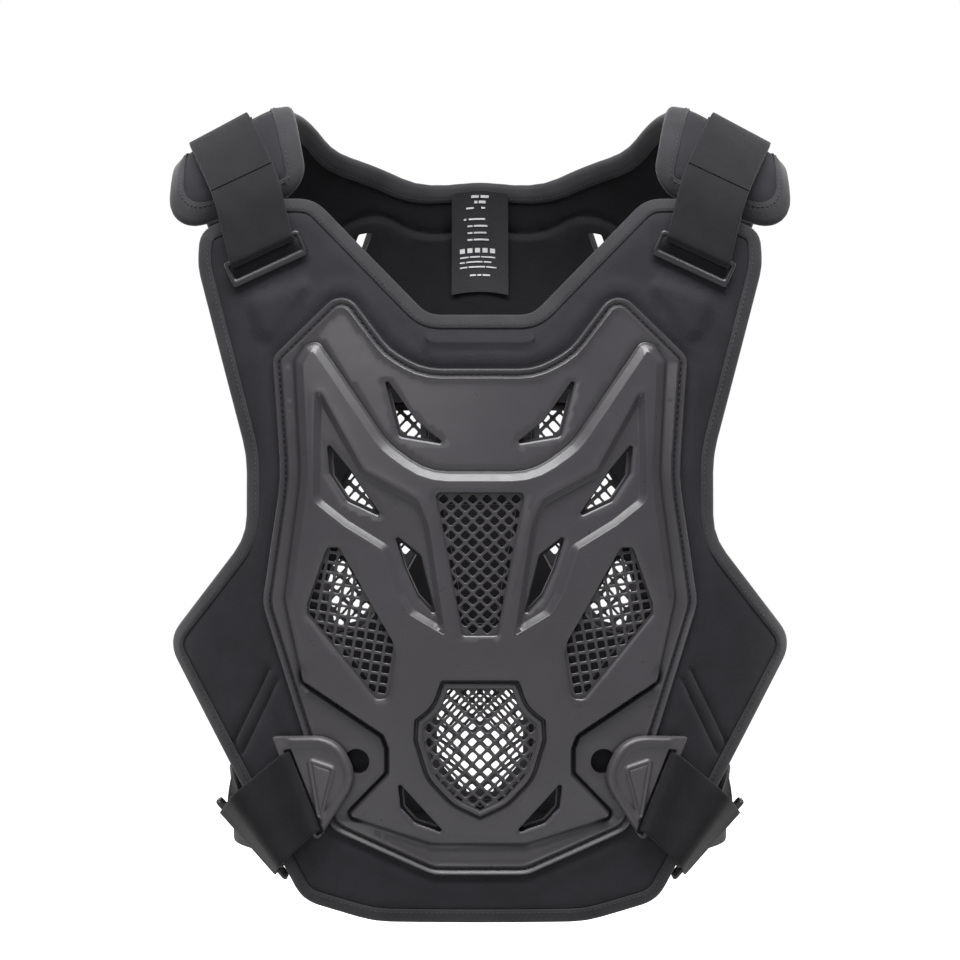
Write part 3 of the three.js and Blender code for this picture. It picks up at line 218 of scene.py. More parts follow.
def whole(rows):
    inner = rows[1:-1]
    return inner + mirrored(inner)


def signed_area(poly):
    x, y = poly[:, 0], poly[:, 1]
    return (x * np.roll(y, -1) - np.roll(x, -1) * y).sum() / 2


def turn_sign(rows):
    """1 for an outline that runs anticlockwise, and -1 for one that runs clockwise."""
    return math.copysign(1, signed_area(np.array([row[:2] for row in rows])))


def inset(rows, distance):
    """The outline moved inward by the distance."""
    sign, count, out = turn_sign(rows), len(rows), []
    for i, (u, v, r) in enumerate(rows):
        a = Vector((u - rows[i - 1][0], v - rows[i - 1][1])).normalized()
        b = Vector((rows[(i + 1) % count][0] - u, rows[(i + 1) % count][1] - v)).normalized()
        turn = sign * (a.x * b.y - a.y * b.x)
        miter = Vector((-(a.y + b.y), a.x + b.x)) * (sign / (1 + a.dot(b)))
        radius = max(0.3, r - math.copysign(1, turn) * distance)
        out.append((u + miter.x * distance, v + miter.y * distance, radius))
    return out


def shrunk(rows, share):
    x, y = np.mean([row[:2] for row in rows], axis=0)
    return [(x + (u - x) * share, y + (v - y) * share, r * share) for u, v, r in rows]


def rounded(rows):
    """Points of an outline, with an arc at each corner."""
    out, count = [], len(rows)
    for i, (u, v, r) in enumerate(rows):
        here = Vector((u, v))
        back_way = Vector(rows[i - 1][:2]) - here
        on_way = Vector(rows[(i + 1) % count][:2]) - here
        limit = SIDE_SHARE * min(back_way.length, on_way.length)
        back_way.normalize()
        on_way.normalize()
        opening = math.acos(max(-1, min(1, back_way.dot(on_way))))
        turn = math.pi - opening
        reach = min(r * math.tan(turn / 2), limit)
        if reach < LEAST_ARC:
            out.append((u, v))
            continue
        radius = reach / math.tan(turn / 2)
        centre = here + (back_way + on_way).normalized() * (radius / math.sin(opening / 2))
        start = here + back_way * reach - centre
        outer = here - centre
        side = math.copysign(1, start.x * outer.y - start.y * outer.x)
        parts = max(2, math.ceil(turn / ARC_STEP))
        for k in range(parts + 1):
            angle = side * turn * k / parts
            c, s = math.cos(angle), math.sin(angle)
            out.append((centre.x + c * start.x - s * start.y, centre.y + s * start.x + c * start.y))
    return np.array(out)


def resampled(poly, longest, closed=True):
    out, count = [], len(poly)
    for i in range(count if closed else count - 1):
        a, b = poly[i], poly[(i + 1) % count]
        parts = max(1, math.ceil(np.linalg.norm(b - a) / longest))
        out.extend(a + (b - a) * (k / parts) for k in range(parts))
    if not closed:
        out.append(poly[-1])
    return np.array(out)


def even_steps(poly, pitch):
    """Places and directions at an even pitch round a closed outline."""
    ring = np.vstack([poly, poly[:1]])
    step = np.linalg.norm(np.diff(ring, axis=0), axis=1)
    along = np.concatenate([[0], np.cumsum(step)])
    count = int(along[-1] / pitch)
    at = (np.arange(count) + 0.5) * along[-1] / count
    place = np.stack([np.interp(at, along, ring[:, k]) for k in (0, 1)], 1)
    ahead = np.stack([np.interp((at + 0.5) % along[-1], along, ring[:, k]) for k in (0, 1)], 1)
    way = ahead - place
    return place, way / np.linalg.norm(way, axis=1)[:, None]


def segment_distance(p, a, b):
    out = np.full(len(p), 1e9)
    run = b - a
    length = np.maximum((run ** 2).sum(1), 1e-12)
    for first in range(0, len(p), CHUNK):
        q = p[first:first + CHUNK]
        t = np.clip(((q[:, None] - a[None]) * run[None]).sum(2) / length, 0, 1)
        gap = q[:, None] - a[None] - t[:, :, None] * run[None]
        out[first:first + CHUNK] = np.sqrt((gap ** 2).sum(2).min(1))
    return out


def line_distance(p, line):
    line = np.asarray(line, float)
    return segment_distance(p, line[:-1], line[1:])


def loop_distance(p, loops):
    return segment_distance(p, np.vstack(loops), np.vstack([np.roll(loop, -1, 0) for loop in loops]))


def parity(p, loops):
    """True at places inside an odd number of the loops."""
    a = np.vstack(loops)
    b = np.vstack([np.roll(loop, -1, 0) for loop in loops])
    inside = np.zeros(len(p), bool)
    for first in range(0, len(p), CHUNK):
        q = p[first:first + CHUNK]
        over = (a[None, :, 1] > q[:, None, 1]) != (b[None, :, 1] > q[:, None, 1])
        with np.errstate(divide="ignore", invalid="ignore"):
            cross = a[:, 0] + (q[:, None, 1] - a[:, 1]) * (b[:, 0] - a[:, 0]) / (b[:, 1] - a[:, 1])
        inside[first:first + CHUNK] = (over & (q[:, None, 0] < cross)).sum(1) % 2 == 1
    return inside


def inside_of(p, loop):
    """Distance to a closed outline, positive inside it."""
    gap = loop_distance(p, [loop])
    return np.where(parity(p, [loop]), gap, -gap)


def outside_all(p, loops):
    """Distance to the nearest of several openings, positive outside all of them."""
    return -np.max([inside_of(p, loop) for loop in loops], axis=0)


def ramp(d, width):
    return np.clip(d / width, 0, 1)


def soft(d, width):
    t = ramp(d, width)
    return t * t * (3 - 2 * t)


def bell(d, at, width):
    return np.exp(-((d - at) / width) ** 2)


# Meshes

ROOT = "root"
ROW_SHARE, CLEAR_SHARE, LEAST_THICK = 0.866, 0.62, 0.3


def finish_mesh(name, places, faces, material, sharp):
    mesh = bpy.data.meshes.new(name)
    mesh.from_pydata((np.asarray(places) * MM).tolist(), [], faces)
    mesh.polygons.foreach_set("use_smooth", [True] * len(mesh.polygons))
    mesh.set_sharp_from_angle(angle=math.radians(sharp))
    mesh.materials.append(material)
    mesh.update()
    piece = bpy.data.objects.new(name, mesh)
    bpy.context.scene.collection.objects.link(piece)
    return piece


def done(piece, *nodes):
    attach(piece, ROOT)
    if nodes:
        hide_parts(*nodes)
    return piece


def flat_mesh(loops, lines, cell):
    """Triangles between closed outlines, with corners along the lines and about one cell apart."""
    places, edges = [], []

    def feed(line, closed):
        line = resampled(line, cell, closed)
        first = len(places)
        places.extend(map(tuple, line))
        edges.extend((first + k, first + k + 1) for k in range(len(line) - 1))
        if closed:
            edges.append((first + len(line) - 1, first))

    for loop in loops:
        feed(loop, True)
    for line, closed in lines:
        feed(np.asarray(line, float), closed)
    tree = kdtree.KDTree(len(places))
    for k, (u, v) in enumerate(places):
        tree.insert((u, v, 0), k)
    tree.balance()
    low, high = loops[0].min(0), loops[0].max(0)
    rows = int((high[1] - low[1]) / (cell * ROW_SHARE)) + 1
    columns = int((high[0] - low[0]) / cell) + 2
    grid = np.array([(low[0] + (i + 0.5 * (j % 2)) * cell, low[1] + (j + 0.5) * cell * ROW_SHARE)
                     for j in range(rows) for i in range(columns)])
    grid = grid[parity(grid, loops)]
    for u, v in grid:
        if tree.find((u, v, 0))[2] > CLEAR_SHARE * cell:
            places.append((u, v))
    made = geometry.delaunay_2d_cdt([Vector(p) for p in places], edges, [], 0, 1e-4)
    flat = np.array([tuple(p) for p in made[0]])
    faces = np.array([f for f in made[2] if len(f) == 3])
    keep = parity(flat[faces].mean(1), loops)
    faces = faces[keep]
    used, faces = np.unique(faces, return_inverse=True)
    return flat[used], faces.reshape(-1, 3)


def plate(name, form, loops, lines, cell, top, bottom, material, sharp=38, lining=None, shadow=None):
    """A solid plate laid on a form, between the heights of top and bottom; a lining material, when given,
    covers the underside with painted shade.
    """
    flat, faces = flat_mesh(loops, lines, cell)
    count = len(flat)
    high = top(flat)
    places = np.vstack([form(flat, high), form(flat, np.minimum(bottom(flat, high), high - LEAST_THICK))])
    directed = np.vstack([faces[:, [0, 1]], faces[:, [1, 2]], faces[:, [2, 0]]])
    known = {(a, b) for a, b in directed.tolist()}
    walls = [(b, a, a + count, b + count) for a, b in known if (b, a) not in known]
    solid = faces.tolist() + (faces[:, ::-1] + count).tolist() + sorted(walls)
    piece = finish_mesh(name, places, solid, material, sharp)
    # The underside takes the lining material, a darker copy of the cloth: painted shade.
    if lining:
        piece.data.materials.append(lining)
        under = np.zeros(len(solid), np.int32)
        under[len(faces):2 * len(faces)] = 1
        piece.data.polygons.foreach_set("material_index", under)
    # Painted shade in the grooves, stored as the groove attribute on the top face.
    if shadow:
        groove = piece.data.attributes.new("groove", "FLOAT", "POINT")
        groove.data.foreach_set("value", np.concatenate([shadow(flat), np.zeros(count)]))
    return piece


def flipped(piece, name):
    copy = piece.copy()
    copy.data = piece.data.copy()
    copy.name = name
    bpy.context.scene.collection.objects.link(copy)
    copy.data.transform(Matrix.Scale(-1, 4, Vector((1, 0, 0))))
    copy.data.flip_normals()
    return copy


def pair(piece, stem, *nodes):
    """The piece made for the right side, and its mirror image on the left."""
    left = flipped(piece, f"{stem}_left")
    piece.name = f"{stem}_right"
    done(piece, *[f"{node}_right" for node in nodes])
    done(left, *[f"{node}_left" for node in nodes])
    return piece, left


def tube(rings, closed_run=True):
    """Faces between successive rings of equally many points."""
    count, sides, faces = len(rings), len(rings[0]), []
    for i in range(count if closed_run else count - 1):
        after = (i + 1) % count
        for k in range(sides):
            turn = (k + 1) % sides
            faces.append((i * sides + k, after * sides + k, after * sides + turn, i * sides + turn))
    if not closed_run:
        faces.append(tuple(range(sides)))
        faces.append(tuple(range((count - 1) * sides, count * sides))[::-1])
    return faces


def outward(places, faces):
    """The faces turned so that the solid's volume is positive."""
    volume = 0.0
    for face in faces:
        for k in range(1, len(face) - 1):
            volume += np.dot(places[face[0]], np.cross(places[face[k]], places[face[k + 1]]))
    return faces if volume > 0 else [tuple(face)[::-1] for face in faces]


def rings_at(rows, *distances):
    """Closed lines at distances inward from an outline."""
    return [(rounded(inset(rows, d)), True) for d in distances]


CREASE_HALF = 0.45


def crease(rows, *distances):
    """Lines at folds and close beside them, which keep the shading of a fold narrow."""
    return rings_at(rows, *[d + step for d in distances for step in (-CREASE_HALF, 0, CREASE_HALF)])


def beside(line, gap):
    """The straight line moved sideways by the gap."""
    (a, b), (c, d) = line
    share = gap / math.hypot(c - a, d - b)
    return [(a - (d - b) * share, b + (c - a) * share), (c - (d - b) * share, d + (c - a) * share)]


STITCH_PROFILE, STITCH_SIDES = ((0.0, 0.25), (0.18, 0.85), (0.5, 1.0), (0.82, 0.85), (1.0, 0.25)), 6


def stitch_row(name, form, poly, pitch, length, radius, height, material):
    """Thread stitches along a closed outline, joined into one piece."""
    place, way = even_steps(poly, pitch)
    lift = height(place)
    half = length / 2
    start = form(place - way * half, lift)
    middle = form(place, lift + radius * 0.5)
    end = form(place + way * half, lift)
    places, faces, sides, rings = [], [], STITCH_SIDES, len(STITCH_PROFILE)
    for a, m, b in zip(start, middle, end):
        run = (b - a) / np.linalg.norm(b - a)
        side = np.cross(run, (0.3, 0.2, 0.93) if abs(run[2]) < 0.8 else (1, 0, 0))
        side /= np.linalg.norm(side)
        up = np.cross(run, side)
        first = len(places)
        for t, r in STITCH_PROFILE:
            centre = a + (b - a) * t + (m - (a + b) / 2) * (4 * t * (1 - t))
            for k in range(sides):
                angle = 2 * math.pi * k / sides
                places.append(centre + (math.cos(angle) * side + math.sin(angle) * up) * (radius * r))
        for i in range(first, first + (rings - 1) * sides, sides):
            for k in range(sides):
                turn = (k + 1) % sides
                faces.append((i + k, i + turn, i + sides + turn, i + sides + k))
        faces.append(tuple(first + k for k in range(sides))[::-1])
        faces.append(tuple(first + (rings - 1) * sides + k for k in range(sides)))
    done(finish_mesh(name, places, faces, material, 60))


# Materials

class Paint:
    """The nodes of one material, and short calls for those that the materials share."""

    def __init__(self, name, color, roughness):
        self.material = bpy.data.materials.new(name)
        self.material.use_nodes = True
        self.nodes, self.links = self.material.node_tree.nodes, self.material.node_tree.links
        self.shader = self.nodes["Principled BSDF"].inputs
        self.where = self.nodes.new("ShaderNodeTexCoord").outputs["Object"]
        self.color, self.roughness = color, roughness

    def fill(self, inputs, values):
        """Each input linked to a node's output, or set to a plain value."""
        for key, value in values.items():
            if isinstance(value, bpy.types.NodeSocket):
                self.links.new(value, inputs[key])
            else:
                inputs[key].default_value = value

    def node(self, kind, values):
        made = self.nodes.new(kind)
        self.fill(made.inputs, values)
        return made

    def attribute(self, name):
        made = self.nodes.new("ShaderNodeAttribute")
        made.attribute_name = name
        return made.outputs

    def noise(self, scale, detail):
        values = {"Vector": self.where, "Scale": scale, "Detail": detail, "Roughness": 0.6}
        return self.node("ShaderNodeTexNoise", values).outputs["Fac"]

    def spread(self, value, low, high):
        """The middle range of a noise, stretched to reach from low to high."""
        values = {"Value": value, "From Min": 0.3, "From Max": 0.7, "To Min": low, "To Max": high}
        return self.node("ShaderNodeMapRange", values).outputs["Result"]

    def mix(self, share, first, second):
        made = self.nodes.new("ShaderNodeMix")
        made.data_type = "RGBA"
        self.fill(made.inputs, {0: share, 6: first, 7: second})
        return made.outputs[2]

    def shade(self, share):
        return (*(min(1.0, c * share) for c in self.color), 1)

    def patches(self, scale, detail, dark, light):
        """The colour in soft patches of a darker and a lighter shade."""
        share = self.spread(self.noise(scale, detail), 0, 1)
        return self.mix(share, self.shade(dark), self.shade(light))

    def bump(self, height, strength, distance, below=None):
        values = {"Height": height, "Strength": strength, "Distance": distance}
        if below is not None:
            values["Normal"] = below
        return self.node("ShaderNodeBump", values).outputs["Normal"]

    def finish(self, base, grain, less, more, normal):
        roughness = self.spread(grain, self.roughness - less, self.roughness + more)
        self.fill(self.shader, {"Base Color": base, "Roughness": roughness, "Normal": normal})


def node_material(name, color, roughness, build, sheen=0.0, specular=0.5):
    paint = Paint(name, color, roughness)
    paint.fill(paint.shader, {"Specular IOR Level": specular, "Sheen Weight": sheen, "Sheen Roughness": 0.45})
    build(paint)
    return paint.material


def moulded(paint):
    base = paint.patches(14, 4, 0.9, 1.12)
    # Painted shade: the colour darkened to 6 % of itself where the groove attribute is high.
    base = paint.mix(paint.attribute("groove")["Fac"], base, paint.shade(0.06))
    paint.finish(base, paint.noise(90, 5), 0.04, 0.05, paint.bump(paint.noise(1800, 2), 0.22, 0.00012))


def knit(paint):
    cells = paint.node("ShaderNodeTexVoronoi", {"Vector": paint.where, "Scale": 900}).outputs["Distance"]
    fuzz = paint.noise(2600, 3)
    normal = paint.bump(fuzz, 0.3, 0.00015, paint.bump(cells, 0.35, 0.0003))
    paint.finish(paint.patches(35, 5, 0.8, 1.2), fuzz, 0.06, 0.05, normal)


def woven(rib):
    def build(paint):
        lay = paint.attribute("lay")["Vector"]
        heights = {}
        for k, (direction, scale) in enumerate((("X", 1 / 1.1), ("Y", 1 / rib))):
            wave = paint.node("ShaderNodeTexWave", {"Vector": lay, "Scale": scale * 0.314, "Distortion": 0.4,
                                                    "Detail Scale": 0.5})
            wave.wave_type = "BANDS"
            wave.bands_direction = direction
            heights[k] = wave.outputs["Fac"]
        both_ways = paint.node("ShaderNodeMath", heights)
        both_ways.operation = "MULTIPLY"
        fuzz = paint.noise(2200, 3)
        normal = paint.bump(fuzz, 0.25, 0.0001, paint.bump(both_ways.outputs[0], 0.4, 0.0003))
        paint.finish(paint.patches(60, 4, 0.82, 1.2), fuzz, 0.05, 0.05, normal)
    return build


FOAM_CLOTH = node_material("foam_cloth", (0.0150, 0.0140, 0.0185), 0.80, knit, sheen=0.12, specular=0.3)
# A darker copy of the foam cloth for the pads' undersides: painted shade.
SHADED_FOAM_CLOTH = node_material("shaded_foam_cloth", (0.0070, 0.0062, 0.0080), 0.85, knit, sheen=0.04, specular=0.2)
TAPE_CLOTH = node_material("tape_cloth", (0.032, 0.031, 0.035), 0.86, knit, sheen=0.22, specular=0.25)
SHELL_PLASTIC = node_material("shell_plastic", (0.050, 0.047, 0.053), 0.31, moulded)
NET_PLASTIC = node_material("net_plastic", (0.040, 0.037, 0.041), 0.45, moulded)
RING_PLASTIC = node_material("ring_plastic", (0.022, 0.021, 0.025), 0.35, moulded)
HOOK_PLASTIC = node_material("hook_plastic", (0.060, 0.056, 0.061), 0.40, moulded)
WEBBING = node_material("webbing", (0.0105, 0.0095, 0.0120), 0.84, woven(1.6), sheen=0.12, specular=0.25)
ELASTIC = node_material("elastic", (0.0100, 0.0092, 0.0110), 0.86, woven(2.4), sheen=0.1, specular=0.25)
THREAD = node_material("thread", (0.030, 0.029, 0.032), 0.7, knit, sheen=0.2)
DARK_THREAD = node_material("dark_thread", (0.012, 0.012, 0.013), 0.65, knit)
SATIN = node_material("satin_label", (0.018, 0.017, 0.021), 0.5, knit)
PRINT = node_material("label_marks", (0.62, 0.62, 0.62), 0.6, knit)


def on_shell(place):
    return np.array([place[0] * SHELL["half"], SHELL["top"] - place[1] * SHELL["height"]])


def circle(centre, radius, sides=28):
    angle = np.arange(sides) * 2 * math.pi / sides
    return centre + radius * np.stack([np.cos(angle), np.sin(angle)], 1)


def both(rows_list):
    return [r for rows in rows_list for r in (rows, mirrored(rows))]


# Front outlines
chest_edge_rows = whole(chest_rows(PANEL_EDGE, PANEL))
shell_rows = whole(chest_rows(SHELL_EDGE, SHELL))
raised_rows = whole(chest_rows(RAISED, SHELL))
feather_rows = both([chest_rows(FEATHER, SHELL)])
vent_rows = both([chest_rows(rows, SHELL) for rows in VENTS])
centre_half = chest_rows(CENTRE_NET, SHELL)
centre_rows = centre_half + mirrored(centre_half)
side_rows = chest_rows(SIDE_NET, SHELL)
shield_half = chest_rows(SHIELD, SHELL)
shield_rows = shield_half + mirrored(shield_half[:-1])
SHIELD_FRAME = 6.0
shield_hole_rows = inset(shield_rows, SHIELD_FRAME)
hole_rows = [*vent_rows, centre_rows, shield_hole_rows, *both([side_rows])]

chest_loop = rounded(chest_edge_rows)
shell_loop = rounded(shell_rows)
raised_loop = rounded(raised_rows)
shield_loop = rounded(shield_rows)
feather_loops = [rounded(rows) for rows in feather_rows]
lock, keyhole = on_shell(LOCK), on_shell(KEYHOLE)
KEY_ROUND = 9.0
key_loops = [circle(keyhole * (flip, 1), KEY_ROUND) for flip in (1, -1)]
hole_loops = [*map(rounded, hole_rows), *key_loops]

# Relief of the plastic plates: distances from an edge, and how far its rounding reaches in
BEVEL, FEATHER_BEVEL, RECESS_BEVEL, BODY_BEVEL, SPINE_BEVEL = 6.4, 4.4, 1.8, 4.0, 2.5
GROOVE, FOOT, SHIELD_GROOVE, SPINE_GROOVE = 4.6, -1.1, 1.5, 3.2
EDGE_ROUND, HOLE_ROUND = 0.9, 1.3
RECESS_REACH, RECESS_FADE = 5, 6
RIM_STEPS = (0.4, 0.9, 1.5, 2.2, 3.3, GROOVE, 5.9, 6.8, 7.4, 8.4)
FOOT_STEPS = (-1.0, -1.8, -2.8)
recess_wall = np.array([on_shell(row[:2]) for row in RAISED[8:13]])


def near_recess(p):
    """1 beside the wall of the recess round each hook plate, and 0 away from it."""
    gap = np.minimum(line_distance(p, recess_wall), line_distance(p, recess_wall * (-1, 1)))
    return 1 - soft(gap - RECESS_REACH, RECESS_FADE)


def rim_relief(edge, outer, inner, groove):
    """Heights over a plate's rim: two beads with a groove between them."""
    return outer * bell(edge, 1.5, 1.1) + inner * bell(edge, 7.4, 1.0) - groove * bell(edge, GROOVE, 1.3)


def painted_groove_shade(p, grooves):
    """Painted shade in the moulded grooves: how dark each is, given as outline, distance inward, width and
    share.
    """
    return np.maximum.reduce([share * bell(inside_of(p, loop), at, wide)
                              for loop, at, wide, share in grooves])


def shell_top(p):
    edge = inside_of(p, shell_loop)
    body = inside_of(p, raised_loop)
    feathers = -outside_all(p, feather_loops)
    holes = outside_all(p, hole_loops)
    shield = inside_of(p, shield_loop)
    recess = near_recess(p)
    rise = ramp(body, BEVEL) * (1 - recess) + ramp(body, RECESS_BEVEL) * recess
    high = SHELL_FACE + SHELL["rise"] * rise * (1 - ramp(feathers, FEATHER_BEVEL))
    high += 0.5 * bell(feathers, -1.0, 1.6) * ramp(body, BEVEL)
    high -= (1.1 + 1.0 * recess) * bell(body, FOOT, 1.0)
    high -= 2.3 * soft(shield, EDGE_ROUND) + 1.9 * bell(shield, SHIELD_GROOVE, 0.9)
    high += rim_relief(edge, 1.2, 1.0, 1.2)
    high -= 1.4 * (1 - soft(edge, EDGE_ROUND))
    high -= 0.9 * (1 - soft(holes, HOLE_ROUND))
    return high


# Painted shade along the raised body's foot, stronger beside the hook recess, in the shield's groove and in
# the rim's groove.
def shell_shadow(p):
    foot = 0.45 + 0.5 * near_recess(p)
    return painted_groove_shade(p, [(raised_loop, FOOT, 1.5, foot), (shield_loop, 1.4, 1.0, 0.9),
                       (shell_loop, GROOVE, 1.2, 0.8)])


def shell_bottom(p, high):
    return np.maximum(SHELL_BACK, high - SHELL["wall"])


shell_lines = [*rings_at(shell_rows, *RIM_STEPS), *crease(raised_rows, 0, BEVEL, RECESS_BEVEL)]
shell_lines += rings_at(raised_rows, *FOOT_STEPS)
for rows in feather_rows:
    shell_lines += [*crease(rows, 0, FEATHER_BEVEL), *rings_at(rows, -2.6)]
for rows in hole_rows:
    shell_lines += rings_at(rows, -0.6, -HOLE_ROUND)
shell_lines += rings_at(shield_rows, 0, 0.5, 0.9, 1.5, 2.1, 2.7, 3.4)
done(plate("chest_shell", chest, [shell_loop, *hole_loops], shell_lines, 4.0, shell_top, shell_bottom,
           SHELL_PLASTIC, sharp=44, shadow=shell_shadow), "front_shell")
PLATE_STITCH = (4.4, 3.0, 0.5)
stitch_row("shell_stitches", chest, rounded(inset(shell_rows, GROOVE)), *PLATE_STITCH,
           lambda p: shell_top(p) + 0.15, DARK_THREAD)


# Nets: a plate with square gaps inside a plain border

def net_piece(name, form, rows, mesh, angle, low, flange, cell, node):
    pitch, wire = mesh
    border = rounded(inset(rows, -flange))
    window = rounded(inset(rows, 0.7))
    middle = (window.min(0) + window.max(0)) / 2
    reach = int(np.linalg.norm(window.max(0) - window.min(0)) / pitch / 2) + 1
    c, s = math.cos(angle), math.sin(angle)
    turn = np.array([[c, s], [-s, c]])
    a = (pitch - wire) / 2
    b = a - 0.3 * a
    square = np.array([(-a, -b), (-b, -a), (b, -a), (a, -b), (a, b), (b, a), (-b, a), (-a, b)])
    loops, rims = [border], []
    for i in range(-reach, reach + 1):
        for j in range(-reach, reach + 1):
            gap = square @ turn + middle + np.array([i, j]) * pitch @ turn
            within = parity(gap, [window])
            if within.all():
                loops.append(gap)
                centre = gap.mean(0)
                rims.append(((gap - centre) * (1 + NET_ROUND / a) + centre, True))
            elif within.sum() >= 3:
                cut = clipped(gap, window)
                if len(cut) > 2 and abs(signed_area(cut)) > LEAST_CUT * (2 * a) ** 2:
                    loops.append(cut)

    def top(p):
        return low + NET_THICK - NET_ROUND * (1 - soft(loop_distance(p, loops[1:]), NET_ROUND))

    def bottom(p, high):
        return np.full(len(p), low)

    done(plate(name, form, loops, rims, cell, top, bottom, NET_PLASTIC), node)


def clipped(gap, window):
    """The part of a convex gap inside a window, by cutting the window's polygon with the gap's sides."""
    out = window
    sign = turn_sign(gap)
    for k in range(len(gap)):
        a, b = gap[k], gap[(k + 1) % len(gap)]
        side = sign * ((b[0] - a[0]) * (out[:, 1] - a[1]) - (b[1] - a[1]) * (out[:, 0] - a[0]))
        made = []
        for i in range(len(out)):
            p, q, sp, sq = out[i], out[(i + 1) % len(out)], side[i], side[(i + 1) % len(out)]
            if sp >= 0:
                made.append(p)
            if (sp >= 0) != (sq >= 0):
                made.append(p + (q - p) * (sp / (sp - sq)))
        if len(made) < 3:
            return np.zeros((0, 2))
        out = np.array(made)
    apart = np.linalg.norm(out - np.roll(out, 1, 0), axis=1) > 0.05
    return out[apart]


# Pitch and wire of the nets, the round of their wires, and the least share of a gap that is cut
FRONT_MESH, BACK_MESH = (7.2, 1.9), (9.0, 2.3)
NET_ROUND, LEAST_CUT, DIAGONAL = 0.35, 0.22, math.pi / 4
for name, rows, angle, flange, node in (("centre_net", centre_rows, DIAGONAL, 4, "grille_centre"),
                                        ("shield_net", shield_hole_rows, DIAGONAL, 7, "grille_shield"),
                                        ("side_net_right", side_rows, 0.17, 4, "grille_right"),
                                        ("side_net_left", mirrored(side_rows), -0.17, 4, "grille_left")):
    net_piece(name, chest, rows, FRONT_MESH, angle, NET_BACK, flange, 8, node)

# Front foam: pads beside the collar, a lens-shaped pad under it, and creases on the wings
pad_rows = both([chest_rows(COLLAR_PAD, PANEL)])
pad_loops = [rounded(rows) for rows in pad_rows]
lens_rows = [
    (-56, -152.5, 6), (-30, -157, 20), (30, -157, 20), (56, -152.5, 6), (34, -165, 26), (-34, -165, 26)]
lens_loop = rounded(lens_rows)
crease_lines = [[(a * flip * PANEL["half"], PANEL["top"] - d * PANEL["height"]) for a, d in line]
                for line in WING_LINES for flip in (1, -1)]
WINDOW_SHARE = 0.84
window_rows = [*vent_rows, centre_rows, shield_rows, *both([side_rows])]
window_loops = [rounded(shrunk(rows, WINDOW_SHARE)) for rows in window_rows]
STUD_SEAT = 2.4


def edge_height(edge, thick):
    return thick * (EDGE_SHARE + (1 - EDGE_SHARE) * soft(edge, EDGE_SOFT))


def edge_low(edge):
    return EDGE_LIFT * (1 - soft(edge, EDGE_SOFT))


def foam_top(p):
    edge = inside_of(p, chest_loop)
    shell_gap = -inside_of(p, shell_loop)
    high = edge_height(edge, FOAM)
    outside = soft(shell_gap, 2.0)
    high += outside * (2.0 * bell(shell_gap, 8, 5) * soft(edge, 14))
    high -= 0.25 * (1 - outside)
    for loop in pad_loops:
        high += 3.8 * soft(inside_of(p, loop) + 1.0, 6.5) * outside
    high += 3.2 * soft(inside_of(p, lens_loop) + 1.0, 7) * outside
    for line in crease_lines:
        high -= 2.5 * bell(line_distance(p, line), 0, 1.7)
    high -= 1.4 * (1 - soft(outside_all(p, window_loops), 3.0))
    studs = [np.linalg.norm(p - at * (flip, 1), axis=1) for at in (lock, keyhole) for flip in (1, -1)]
    return np.where(np.minimum.reduce(studs) < KEY_ROUND + 0.4, STUD_SEAT, high)


def foam_bottom(p, high):
    return edge_low(inside_of(p, chest_loop))


foam_lines = [*rings_at(chest_edge_rows, 3, 7, 11), *rings_at(shell_rows, -0.6, -2.5, -6.5)]
foam_lines += [(loop, True) for loop in pad_loops]
for rows in pad_rows:
    foam_lines += rings_at(rows, 4)
foam_lines += [(lens_loop, True), *rings_at(lens_rows, 3)]
foam_lines += [(beside(line, gap), False) for line in crease_lines for gap in (-2.6, -1.3, 0, 1.3, 2.6)]
foam_lines += [(circle(at * (flip, 1), KEY_ROUND + more), True)
               for at in (lock, keyhole) for flip in (1, -1) for more in (0, 0.7)]
foam_loops = [rounded(inset(chest_edge_rows, FOAM_TRIM)), *window_loops]
# The padding's underside takes the darker copy of the foam cloth as painted shade.
front_foam = plate("chest_padding", chest, foam_loops, foam_lines, 4.6, foam_top, foam_bottom,
                   FOAM_CLOTH, sharp=60, lining=SHADED_FOAM_CLOTH)
done(front_foam, "front_panel")


# Edge tape, folded round a panel's edge

TAPE_SKIN, SEAM_IN, SEAM_LIFT = 1.15, 2.2, 0.35


